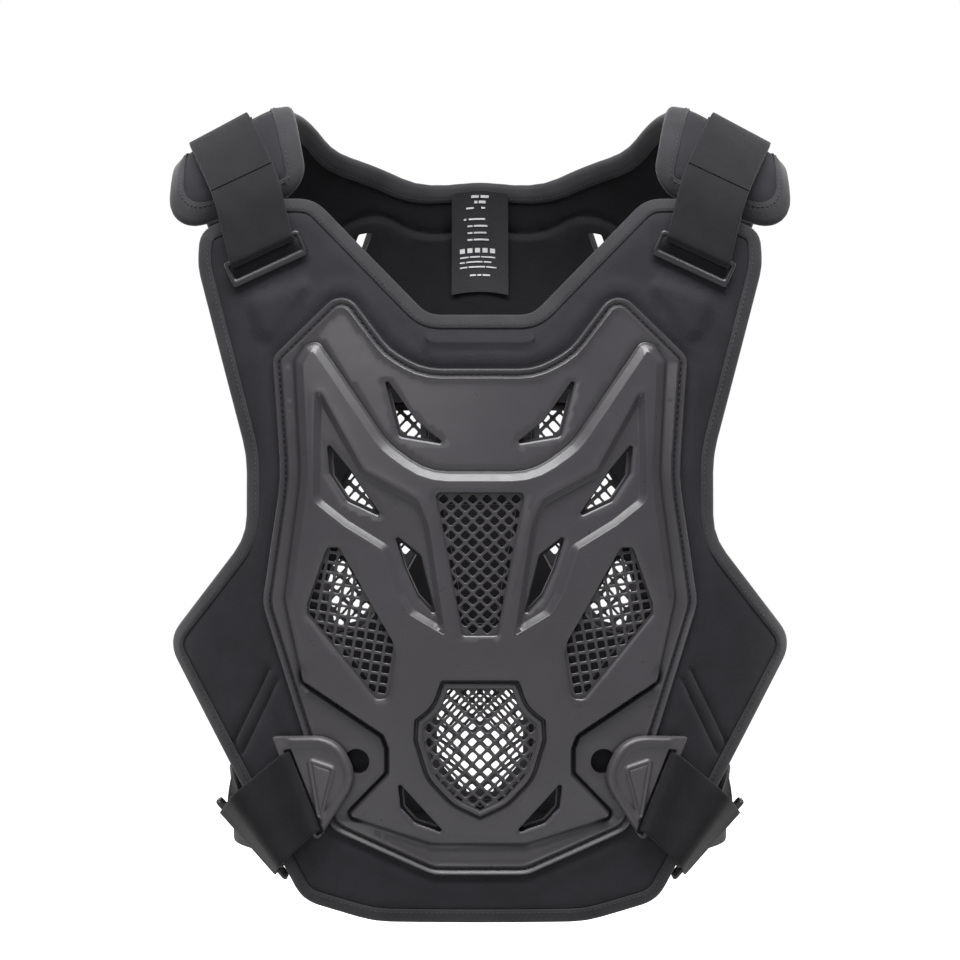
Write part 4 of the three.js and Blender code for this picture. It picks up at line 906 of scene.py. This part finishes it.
def edge_tape(name, form, rows, thick, width, node):
    place, way = even_steps(rounded(rows), 3.4)
    inward = np.stack([-way[:, 1], way[:, 0]], 1) * turn_sign(rows)
    steps = np.array([0.0, 2.0, 5.0, width])
    edge, low, skin = edge_height(steps, thick), edge_low(steps), TAPE_SKIN
    middle = (edge[0] + low[0]) / 2
    section = [
        (width, edge[3] + CLOTH_GAP), (width + 0.4, edge[3] + 0.8), (width - 0.3, edge[3] + skin + CLOTH_GAP),
        (5.0, edge[2] + skin + 0.5), (2.0, edge[1] + skin + 0.35), (0.2, edge[0] + 0.7), (-0.9, middle + 1.5),
        (-1.1, middle), (-0.9, middle - 1.5), (0.2, low[0] - 0.7), (2.0, low[1] - skin - 0.35),
        (5.0, low[2] - skin - 0.5), (width - 0.3, low[3] - skin - CLOTH_GAP), (width + 0.4, low[3] - 0.8),
        (width, low[3] - CLOTH_GAP), (4.0, low[2] - 0.1), (0.8, middle - 1.0), (0.8, middle + 1.0),
        (4.0, edge[2] + 0.1)]
    stack = np.stack([form(place + inward * d, np.full(len(place), h)) for d, h in section], 1)
    places = stack.reshape(-1, 3)
    done(finish_mesh(name, places, outward(places, tube(stack)), TAPE_CLOTH, 75), node)
    seam = rounded(inset(rows, width - SEAM_IN))
    at = np.array([width - SEAM_IN])
    top = edge_height(at, thick)[0] + skin + SEAM_LIFT
    bottom = edge_low(at)[0] - skin - SEAM_LIFT
    for side, level in (("face", top), ("lining", bottom)):
        stitch_row(f"{name}_stitches_{side}", form, seam, 3.6, 2.5, 0.36,
                   lambda p, level=level: np.full(len(p), level), THREAD)


edge_tape("chest_edge_tape", chest, chest_edge_rows, FOAM, 9.0, "front_binding")

# Back
back_edge_rows = whole(back_rows(BACK_EDGE, BACK))
plate_rows = whole(back_rows(PLATE_EDGE, PLATE))
plate_body_rows = whole(back_rows(PLATE_BODY, PLATE))
back_vent_rows = both([back_rows(BACK_VENT, PLATE)])
back_side_rows = back_rows(BACK_SIDE_NET, PLATE)
low_half = back_rows(BACK_LOW_NET, PLATE)
back_low_rows = low_half + mirrored(low_half)
spine_half = back_rows(SPINE, PLATE)
spine_rows = spine_half + mirrored(spine_half)
inner_pad_rows = whole(back_rows(INNER_PAD, BACK))
back_loop, plate_loop = rounded(back_edge_rows), rounded(plate_rows)
plate_body_loop, spine_loop, inner_pad_loop = map(rounded, (plate_body_rows, spine_rows, inner_pad_rows))
back_net_rows = [*both([back_side_rows]), back_low_rows]
back_hole_rows = [*back_vent_rows, *back_net_rows]
back_hole_loops = [rounded(rows) for rows in back_hole_rows]
# The foam's holes behind the back vents are shrunk, so that dark foam fills most of each vent in place of the
# shade inside it.
SEAT_SHARE = 0.55
seat_loops = [rounded(shrunk(rows, SEAT_SHARE)) for rows in back_vent_rows]
seat_loops += [rounded(inset(rows, -5)) for rows in back_net_rows]
FOLD_AT, FOLD_FROM = 0.205, 90


def back_foam_top(p):
    edge = inside_of(p, back_loop)
    high = edge_height(edge, BACK["thick"])
    gap = -inside_of(p, plate_loop)
    high += 1.2 * bell(gap, 7, 5) * soft(gap, 2) * soft(edge, 14)
    high -= 0.3 * (1 - soft(gap, 2))
    fold = np.abs(p[:, 1] - FOLD_AT * BACK["length"])
    return high - 1.2 * bell(fold, 0, 3.0) * (np.abs(p[:, 0]) > FOLD_FROM)


def back_foam_bottom(p, high):
    pad = inside_of(p, inner_pad_loop)
    return edge_low(inside_of(p, back_loop)) - 3.2 * soft(pad + 1, 5) + 1.2 * bell(pad, -1.5, 1.8)


back_lines = [*rings_at(back_edge_rows, 3, 7, 12), *rings_at(inner_pad_rows, -3.5, -1.5, 0, 2, 4.5)]
back_lines += rings_at(plate_rows, -0.6, -2.5, -6.5)
back_foam_loops = [rounded(inset(back_edge_rows, FOAM_TRIM)), *seat_loops]
back_foam = plate("back_padding", back, back_foam_loops, back_lines, 5.5,
                  back_foam_top, back_foam_bottom, FOAM_CLOTH, sharp=60, lining=SHADED_FOAM_CLOTH)
done(back_foam, "back_panel")
edge_tape("back_edge_tape", back, back_edge_rows, BACK["thick"], 11.0, "back_binding")


def back_plate_top(p):
    edge = inside_of(p, plate_loop)
    body = inside_of(p, plate_body_loop)
    spine = inside_of(p, spine_loop)
    high = BACK_SHELL_FACE + 2.8 * ramp(body, BODY_BEVEL) - 1.6 * ramp(spine, SPINE_BEVEL)
    high -= 1.1 * bell(body, FOOT, 1.0) + 0.8 * bell(spine, SPINE_GROOVE, 1.0)
    high += rim_relief(edge, 1.1, 0.9, 1.0)
    high -= 1.3 * (1 - soft(edge, EDGE_ROUND))
    return high - 0.8 * (1 - soft(outside_all(p, back_hole_loops), HOLE_ROUND))


def back_plate_bottom(p, high):
    return np.maximum(BACK_SHELL_BACK, high - PLATE["wall"])


# Painted shade along the raised body's foot, in the spine's groove and in the rim's groove.
def back_plate_shadow(p):
    return painted_groove_shade(p, [(plate_body_loop, FOOT, 1.5, 0.7), (spine_loop, SPINE_GROOVE, 1.2, 0.6),
                       (plate_loop, GROOVE, 1.2, 0.8)])


plate_lines = [*rings_at(plate_rows, *RIM_STEPS), *crease(plate_body_rows, 0, BODY_BEVEL)]
plate_lines += rings_at(plate_body_rows, *FOOT_STEPS)
plate_lines += rings_at(spine_rows, 0, SPINE_BEVEL, SPINE_GROOVE, 4.2)
for rows in back_hole_rows:
    plate_lines += rings_at(rows, -HOLE_ROUND)
done(plate("back_plate", back, [plate_loop, *back_hole_loops], plate_lines, 5.0, back_plate_top,
           back_plate_bottom, SHELL_PLASTIC, sharp=44, shadow=back_plate_shadow), "back_shell")
stitch_row("plate_stitches", back, rounded(inset(plate_rows, GROOVE)), *PLATE_STITCH,
           lambda p: back_plate_top(p) + 0.15, DARK_THREAD)
for name, rows, angle, node in (("back_net_right", back_side_rows, 0.6, "back_grille_right"),
                                ("back_net_left", mirrored(back_side_rows), -0.6, "back_grille_left"),
                                ("back_net_low", back_low_rows, DIAGONAL, "back_grille_low")):
    net_piece(name, back, rows, BACK_MESH, angle, BACK_NET_BACK, 4, 9, node)


# Webbing

def curve_points(points, count):
    """A centripetal curve through the points, at even shares of its spans."""
    points = np.asarray(points, float)
    last = len(points) - 1
    out = []
    for i in range(count + 1):
        where = last * i / count
        k = min(int(where), last - 1)
        t = where - k
        p1, p2 = points[k], points[k + 1]
        p0 = points[k - 1] if k > 0 else 2 * p1 - p2
        p3 = points[k + 2] if k + 2 <= last else 2 * p2 - p1
        d01, d12, d23 = (max(1e-4, np.sum((b - a) ** 2) ** 0.25) for a, b in ((p0, p1), (p1, p2), (p2, p3)))
        m1 = ((p1 - p0) / d01 - (p2 - p0) / (d01 + d12) + (p2 - p1) / d12) * d12
        m2 = ((p2 - p1) / d12 - (p3 - p1) / (d12 + d23) + (p3 - p2) / d23) * d12
        out.append(p1 + m1 * t + (-3 * p1 + 3 * p2 - 2 * m1 - m2) * t ** 2
                   + (2 * p1 - 2 * p2 + m1 + m2) * t ** 3)
    return np.array(out)


def unit(v):
    return v / np.linalg.norm(v)


def between(stations, count):
    at = curve_points([s[0] for s in stations], count)
    across = curve_points([s[1] for s in stations], count)
    return [(a, unit(c)) for a, c in zip(at, across)]


def spun(arm, axis, angle):
    axis = unit(axis)
    return (arm * math.cos(angle) + np.cross(axis, arm) * math.sin(angle)
            + axis * np.dot(axis, arm) * (1 - math.cos(angle)))


def half_turn(centre, arm, axis, parts, turn=math.pi):
    return [(centre + spun(arm, axis, turn * i / parts), unit(axis)) for i in range(parts + 1)]


def ribbon(name, stations, width, thick, closed, material):
    """Webbing with rounded edges through stations of middle point and cross direction."""
    half, r = width / 2, thick / 2
    corner = half - 0.3 * r
    section = [(-half + r, -r), (half - r, -r), (corner, -0.7 * r), (half, 0), (corner, 0.7 * r),
               (half - r, r), (half - 3, r * 1.06), (0, r * 0.96), (-half + 3, r * 1.06), (-half + r, r),
               (-corner, 0.7 * r), (-half, 0), (-corner, -0.7 * r)]
    count, along, rings, lay = len(stations), 0.0, [], []
    for i, (at, across) in enumerate(stations):
        before = stations[i - 1][0] if closed or i else at
        after = stations[(i + 1) % count][0] if closed or i < count - 1 else at
        face = unit(np.cross(across, after - before))
        along += np.linalg.norm(at - before) if i else 0
        rings.append([at + across * a + face * b for a, b in section])
        lay.extend((a, along, 0) for a, _ in section)
    stack = np.array(rings)
    places = stack.reshape(-1, 3)
    faces = outward(places, tube(stack, closed))
    piece = finish_mesh(name, places, faces, material, 60)
    layer = piece.data.attributes.new("lay", "FLOAT_VECTOR", "POINT")
    layer.data.foreach_set("vector", np.array(lay, float).ravel())
    return piece


# Rings with rounded bars

def frame_ring(name, place, across, high, size, material):
    """A ring of rounded bars; size is width, height, side, low and top bar, thickness and corner."""
    wide, tall, side, low, top, thick, corner = size
    out = unit(np.cross(across, high))

    def loop(half, low, high, r):
        points = []
        for k, (u, v) in enumerate(((-half, low), (half, low), (half, high), (-half, high))):
            angles = np.linspace(0, math.pi / 2, 7) + math.pi + k * math.pi / 2
            centre = np.array([u - math.copysign(r, u), v + (r if k < 2 else -r)])
            points.extend(centre + r * np.array([math.cos(a), math.sin(a)]) for a in angles)
        return np.array(points)

    outer_loop = loop(wide / 2, 0, tall, corner)
    inner_loop = loop(wide / 2 - side, low, tall - top, corner / 2)
    rings = []
    for share, level in ((0.0, 0.0), (0.22, -0.42), (0.5, -0.5), (0.78, -0.42),
                         (1.0, 0.0), (0.78, 0.42), (0.5, 0.5), (0.22, 0.42)):
        flat = outer_loop + (inner_loop - outer_loop) * share
        rings.append([place + across * u + high * v + out * (level * thick) for u, v in flat])
    stack = np.array(rings).transpose(1, 0, 2)
    places = stack.reshape(-1, 3)
    return finish_mesh(name, places, outward(places, tube(stack)), material, 70)


WEB_WIDE, WEB_THICK = 49.5, 1.8
FRAME_DEEP, FRAME_TOP_BAR, FRAME_THICK = 20, 3.8, 3.6
FRAME_SIZE = (60, FRAME_DEEP, 3.6, 5.4, FRAME_TOP_BAR, FRAME_THICK, 3)
FRAME_TILT, FRAME_RISE, RING_CLEAR = 0.17, 0.6, 0.3
LAP_FROM, LAP_TO = 9, 45
frame_place = np.array([0.684 * PANEL["half"], PANEL["top"] - 0.102 * PANEL["height"]])
frame_run, frame_rise = unit(np.array([0.911, -0.413])), unit(np.array([0.413, 0.911]))


def frame_axes():
    base = FOAM + CLOTH_GAP

    def at(a, b):
        return chest([frame_place + frame_run * a + frame_rise * b], base)[0]
    across = unit(at(30, 0) - at(-30, 0))
    rough = unit(at(0, 20) - at(0, 0))
    out = unit(np.cross(across, rough))
    up = unit(np.cross(out, across))
    if out[1] > 0:
        out = -out
    tilted = unit(up + out * FRAME_TILT)
    place = chest([frame_place], base + FRAME_RISE)[0]
    return place, across, tilted, np.cross(across, tilted)


place, across, up, out = frame_axes()
middle = place + out * (FRAME_THICK / 2)
pair(frame_ring("shoulder_ring", middle, across, up, FRAME_SIZE, RING_PLASTIC),
     "shoulder_ring", "shoulder_frame")


def shoulder_strap():
    bar = place + up * (FRAME_DEEP - FRAME_TOP_BAR / 2) + out * (FRAME_THICK / 2)
    arm = math.hypot(FRAME_TOP_BAR, FRAME_THICK) / 2 + RING_CLEAR + WEB_THICK / 2

    def on_foam(a, d, lift):
        at = (a * PANEL["half"], PANEL["top"] - d * PANEL["height"])
        return chest([at], FOAM + lift * WEB_THICK)[0], across

    def on_tab(a, v, lift):
        u, w = a * BACK["half"], v * BACK["length"]
        side = back([(u + 10, w)], BACK["thick"])[0] - back([(u - 10, w)], BACK["thick"])[0]
        return back([(u, w)], BACK["thick"] + lift * WEB_THICK)[0], unit(side)

    turn = half_turn(bar, out * arm, across, 10)[::-1]
    under = [on_tab(0.885, -0.02, 0.95), on_tab(0.872, -0.05, 0.95), on_foam(0.768, -0.008, 2.6),
             on_foam(0.752, 0.02, 2.5), turn[0]]
    over = [turn[-1], on_foam(0.768, -0.008, 4.0), on_tab(0.885, -0.03, 2.5), on_tab(0.895, 0, 2.4),
            on_tab(0.885, 0.045, 2.1), on_tab(0.85, 0.1, 1.5), on_tab(0.785, 0.16, 1.1),
            on_tab(0.742, 0.195, 1.1)]
    face_run = between(over, 54)
    lap = []
    for k in range(LAP_FROM, LAP_TO):
        at, side = face_run[k]
        face = unit(np.cross(side, face_run[k + 1][0] - face_run[k - 1][0]))
        face = face * math.copysign(1, np.dot(face, (0, -1, 1)))
        lap.append((at + face * (0.5 * WEB_THICK + 0.35), side))
    run = [*between(under, 18), *turn[1:-1], *face_run]
    band = ribbon("shoulder_webbing", run, WEB_WIDE, WEB_THICK, False, WEBBING)
    return band, ribbon("shoulder_lap", lap, WEB_WIDE - 0.8, 1.0, False, WEBBING)


strap_band, strap_lap = shoulder_strap()
pair(strap_band, "shoulder_webbing", "shoulder_strap")
pair(strap_lap, "shoulder_lap")

# Hook plate, its strap, ring and anchor
WAIST_WIDE, WAIST_THICK = 61, 1.6
button_rows = chest_rows(HOOK_BUTTON, SHELL)
bar_top, bar_low = on_shell(HOOK_BAR[0]), on_shell(HOOK_BAR[1])
bar_run = unit(bar_low - bar_top)
bar_out = np.array([-bar_run[1], bar_run[0]])


def slot_loop(start, end, width):
    side = np.array([-(end - start)[1], (end - start)[0]])
    side = side / np.linalg.norm(side) * width / 2
    return rounded([(*at, 1.2) for at in (start + side, end + side, end - side, start - side)])


hook_cut = bar_top + bar_out * (BAR_WIDTH / 2)
hook_loop_rows = []
for u, v, r in chest_rows(HOOK_EDGE, SHELL):
    beyond = max(0, np.dot(np.array([u, v]) - hook_cut, bar_out))
    hook_loop_rows.append((u - bar_out[0] * beyond, v - bar_out[1] * beyond, r))
hook_loop = rounded(hook_loop_rows)
slot_shift = bar_out * (BAR_WIDTH / 2 + SLOT_WIDTH / 2)
hook_slot = slot_loop(bar_top - slot_shift, bar_low - slot_shift, SLOT_WIDTH)
button_loop = rounded(button_rows)
engraved_rows = inset(button_rows, 3.2)
engraved_loop = rounded(engraved_rows)


def hook_top(p):
    edge = inside_of(p, hook_loop)
    button = inside_of(p, button_loop)
    line = loop_distance(p, [engraved_loop])
    from_bar = -((p - hook_cut) @ bar_out)
    rim = soft(from_bar - BAR_WIDTH - SLOT_WIDTH + 2, 4)
    high = HOOK_FACE + 2.0 * rim * bell(edge, 2.6, 2.1) - 1.6 * (1 - soft(edge, 1.2))
    high -= 1.0 * soft(edge - 5.2, 1.6) * rim
    high += 2.4 * soft(button + 0.6, 1.8)
    high -= 0.9 * bell(line, 0, 0.5)
    return high - 0.9 * (1 - soft(-inside_of(p, hook_slot), 1.0))


hook_lines = rings_at(hook_loop_rows, 0.5, 1.2, 2.6, 4.2, 5.6, 6.8)
hook_lines += [(button_loop, True), *rings_at(button_rows, 1.2), (engraved_loop, True)]
hook_lines += rings_at(engraved_rows, 0.6, -0.6)
pair(plate("hook_plate", chest, [hook_loop, hook_slot], hook_lines, 1.8, hook_top,
           lambda p, high: np.full(len(p), HOOK_BACK), HOOK_PLASTIC, sharp=50), "hook_plate", "hook")

RING_BAR, RING_THICK, RING_DEEP, RING_ACROSS = 3.6, 4, 24, 77
ring_place = np.array([0.766 * PANEL["half"], -0.49 * CHEST_REACH, PANEL["top"] - 0.894 * PANEL["height"]])
ring_across, ring_deep = unit(np.array([-0.664, 0, -0.748])), np.array([0.0, 1.0, 0.0])
RING_SIZE = (RING_ACROSS, RING_DEEP, RING_BAR, RING_BAR, RING_BAR, RING_THICK, 3)
ring_arm = math.hypot(RING_BAR, RING_THICK) / 2 + RING_CLEAR + WAIST_THICK / 2
pair(frame_ring("waist_ring", ring_place - ring_deep * (RING_DEEP / 2), ring_across, ring_deep, RING_SIZE,
                RING_PLASTIC), "waist_ring", "side_ring")


def waist_strap():
    middle = (bar_top + bar_low) / 2
    run = bar_low - bar_top
    height = HOOK_BACK + 2
    start = chest([middle], height)[0]
    start_across = unit(chest([middle + run / 2], height)[0] - chest([middle - run / 2], height)[0])
    end = ring_place + ring_deep * (-RING_DEEP / 2 + RING_BAR / 2)
    over = []
    for a, d, lift in ((0.055, 0.022, 1.9), (0.115, 0.048, 4.75)):
        at = (middle[0] + a * PANEL["half"], middle[1] - d * PANEL["height"])
        over.append(chest([at], height + lift * WAIST_THICK)[0])

    def turned(t):
        return unit(start_across * (1 - t) + ring_across * t)

    centre = between([(start, start_across), (over[0], turned(0.25)), (over[1], turned(0.6)),
                      (end, ring_across)], 24)
    last = len(centre) - 1

    def face_at(i):
        before, after = centre[max(0, i - 1)][0], centre[min(last, i + 1)][0]
        return unit(np.cross(centre[i][1], after - before))

    hook_arm = math.hypot(BAR_WIDTH, HOOK_FACE - HOOK_BACK) / 2 + 1 + WAIST_THICK / 2

    def gap(i):
        t = i / last
        return max(WAIST_THICK / 2 + RING_CLEAR, hook_arm * (1 - t / 0.3), ring_arm * (1 - (1 - t) / 0.3))

    def layer(sign):
        return [(centre[i][0] + face_at(i) * sign * gap(i), centre[i][1]) for i in range(1, last)]

    ring_turn = half_turn(end, face_at(last) * ring_arm, ring_across, 12, -math.pi)
    hook_turn = half_turn(start, face_at(0) * -hook_arm, start_across, 12, -math.pi)
    stations = [*layer(1), *ring_turn, *layer(-1)[::-1], *hook_turn]
    return ribbon("waist_strap", stations, WAIST_WIDE, WAIST_THICK, True, ELASTIC)


pair(waist_strap(), "waist_strap", "side_strap")


def waist_anchor():
    rear = ring_place + ring_deep * (RING_DEEP / 2 - RING_BAR / 2)
    face = unit(np.cross(ring_deep, ring_across))
    face = face if face[0] > 0 else -face
    high = BACK["thick"] + 1.6 + 1.2 + CLOTH_GAP + WAIST_THICK / 2 + 0.7
    landing = []
    for a, v, lift in ((0.87, 0.815, 1.3), (0.76, 0.81, 0.4), (0.62, 0.805, 0)):
        u, w, h = a * BACK["half"], v * BACK["length"], high + lift * WAIST_THICK
        at = back([(u, w)], h)[0]
        landing.append((at, unit(at - back([(u, w - 10)], h)[0])))
    beyond, aside = rear + ring_deep * 24, face * (WAIST_THICK / 2 + RING_CLEAR)
    way = 1 if np.dot(np.cross(face, ring_deep), ring_across) > 0 else -1
    turn = half_turn(rear, -face * ring_arm, ring_across, 10, way * math.pi)
    halfway = ((rear + landing[0][0]) / 2 - face * 1, unit(ring_across + landing[0][1]))
    out_run = [turn[-1], (beyond + aside, ring_across), halfway, *landing]
    stations = [(beyond - aside, ring_across), *turn[:-1], *between(out_run, 40)]
    return ribbon("waist_anchor", stations, WAIST_WIDE, WAIST_THICK, False, WEBBING)


pair(waist_anchor(), "waist_anchor", "side_anchor")

# Care label, with plain marks
LABEL_WIDE, LABEL_DROP, LABEL_START, LABEL_THICK = 45, 81, 163, 0.5


def label_level(p):
    down = (p[:, 1] - LABEL_START) / LABEL_DROP
    return -4.4 - 1.2 * np.sin(down * 2.6) + 0.5 * np.cos(p[:, 0] / 9)


def box_loop(u0, v0, u1, v1):
    return np.array([(u0, v0), (u1, v0), (u1, v1), (u0, v1)], float)


half = LABEL_WIDE / 2
label_loop = box_loop(-half, LABEL_START, half, LABEL_START + LABEL_DROP)
label = plate("care_tag", back, [label_loop], [], 3.0, label_level, lambda p, high: high - LABEL_THICK,
              SATIN, sharp=50)
done(label, "care_label")

# Rows of marks: place down the label, height, and where each mark starts and stops across it
MARK_ROWS = [
    (3.5, 2.0, (-7, -1, 0.5, 7)), (8, 2.0, (-4.5, -2, -1, 4.5)), (13, 1.3, (-11, -5, 1, 4)),
    (22, 1.3, (-13, -11, -9, 4)), (27.5, 1.3, (-10, -6, -5, 6)), (33, 1.3, (-10, -6, -5, 5)),
    (38.5, 1.3, (-10, -6, -5, 7)), (46, 3.6, (-16, -12, -10, -6, -4, 0, 2, 6, 8, 12)),
    (52.5, 1.1, (-16, -9, -8, 0, 1, 12)), (56.5, 1.1, (-16, -12, -11, 2, 3, 9)),
    (60.5, 1.1, (-16, -10, -9, 4, 5, 13)), (67, 1.3, (-8, -3, -2, 1, 2, 8))]
MARK_THICK, MARK_SINK = 0.4, 0.02
mark_pieces = []
for down, tall, ends in MARK_ROWS:
    for start, stop in zip(ends[::2], ends[1::2]):
        mark = box_loop(start, LABEL_START + down, stop, LABEL_START + down + tall)
        piece = plate(f"tag_mark_{len(mark_pieces)}", back, [mark], [], 2.0,
                      lambda p: label_level(p) - LABEL_THICK + MARK_SINK, lambda p, high: high - MARK_THICK,
                      PRINT)
        mark_pieces.append(done(piece))

# Stage, light and camera
FLOOR = -0.72
bpy.ops.mesh.primitive_plane_add(size=14, location=(0, 0, FLOOR))
floor = bpy.context.object
floor.name = "floor"
floor_paint = Paint("floor_paint", (0.55, 0.55, 0.55), 0.9)
seen_by_camera = floor_paint.nodes.new("ShaderNodeLightPath").outputs["Is Camera Ray"]
floor_paint.fill(floor_paint.shader, {"Base Color": floor_paint.shade(1), "Roughness": floor_paint.roughness,
                                      "Emission Color": (1, 1, 1, 1), "Emission Strength": seen_by_camera})
floor.data.materials.append(floor_paint.material)

world = bpy.data.worlds.new("studio")
bpy.context.scene.world = world
world.use_nodes = True
sky_nodes, sky_links = world.node_tree.nodes, world.node_tree.links
soft_sky = sky_nodes["Background"]
soft_sky.inputs["Color"].default_value = (1, 1, 1, 1)
soft_sky.inputs["Strength"].default_value = 0.16
backdrop = sky_nodes.new("ShaderNodeBackground")
backdrop.inputs["Color"].default_value = (1, 1, 1, 1)
backdrop.inputs["Strength"].default_value = 1.0
seen = sky_nodes.new("ShaderNodeMixShader")
sky_links.new(sky_nodes.new("ShaderNodeLightPath").outputs["Is Camera Ray"], seen.inputs[0])
sky_links.new(soft_sky.outputs[0], seen.inputs[1])
sky_links.new(backdrop.outputs[0], seen.inputs[2])
sky_links.new(seen.outputs[0], sky_nodes["World Output"].inputs["Surface"])


def area_light(name, place, aim, size, power):
    light = bpy.data.lights.new(name, "AREA")
    light.shape = "RECTANGLE"
    light.size, light.size_y = size
    light.energy = power
    lamp = bpy.data.objects.new(name, light)
    lamp.location = place
    lamp.rotation_euler = (Vector(aim) - Vector(place)).to_track_quat("-Z", "Y").to_euler()
    bpy.context.scene.collection.objects.link(lamp)


TOWARD = (0, 0, -0.3)
area_light("left_strip", (-1.7, 0.9, -0.1), TOWARD, (0.8, 1.8), 20)
area_light("right_strip", (1.7, 0.9, -0.1), TOWARD, (0.8, 1.8), 20)
area_light("top_soft", (0, -0.9, 1.6), (0, 0, -0.25), (2.2, 0.8), 84)
area_light("front_soft", (-0.7, -2.9, 0.9), TOWARD, (1.2, 1.2), 12)
area_light("rear_soft", (0, 2.2, 0.6), TOWARD, (1.6, 1.2), 24)

# Half the width that the frame spans, and the distance at which it does, in millimetres
HALF_VIEW, VIEW_FROM = 340.8, 2400
camera = bpy.data.objects.new("camera", bpy.data.cameras.new("camera"))
camera.data.sensor_fit = "HORIZONTAL"
camera.data.angle = 2 * math.atan(HALF_VIEW / VIEW_FROM)
camera.location = (0, -2.528, -0.258)
camera.rotation_euler = (math.pi / 2, 0, 0)
camera.data.clip_end = 50
bpy.context.scene.collection.objects.link(camera)
bpy.context.scene.camera = camera
bpy.context.scene.view_settings.view_transform = "Standard"
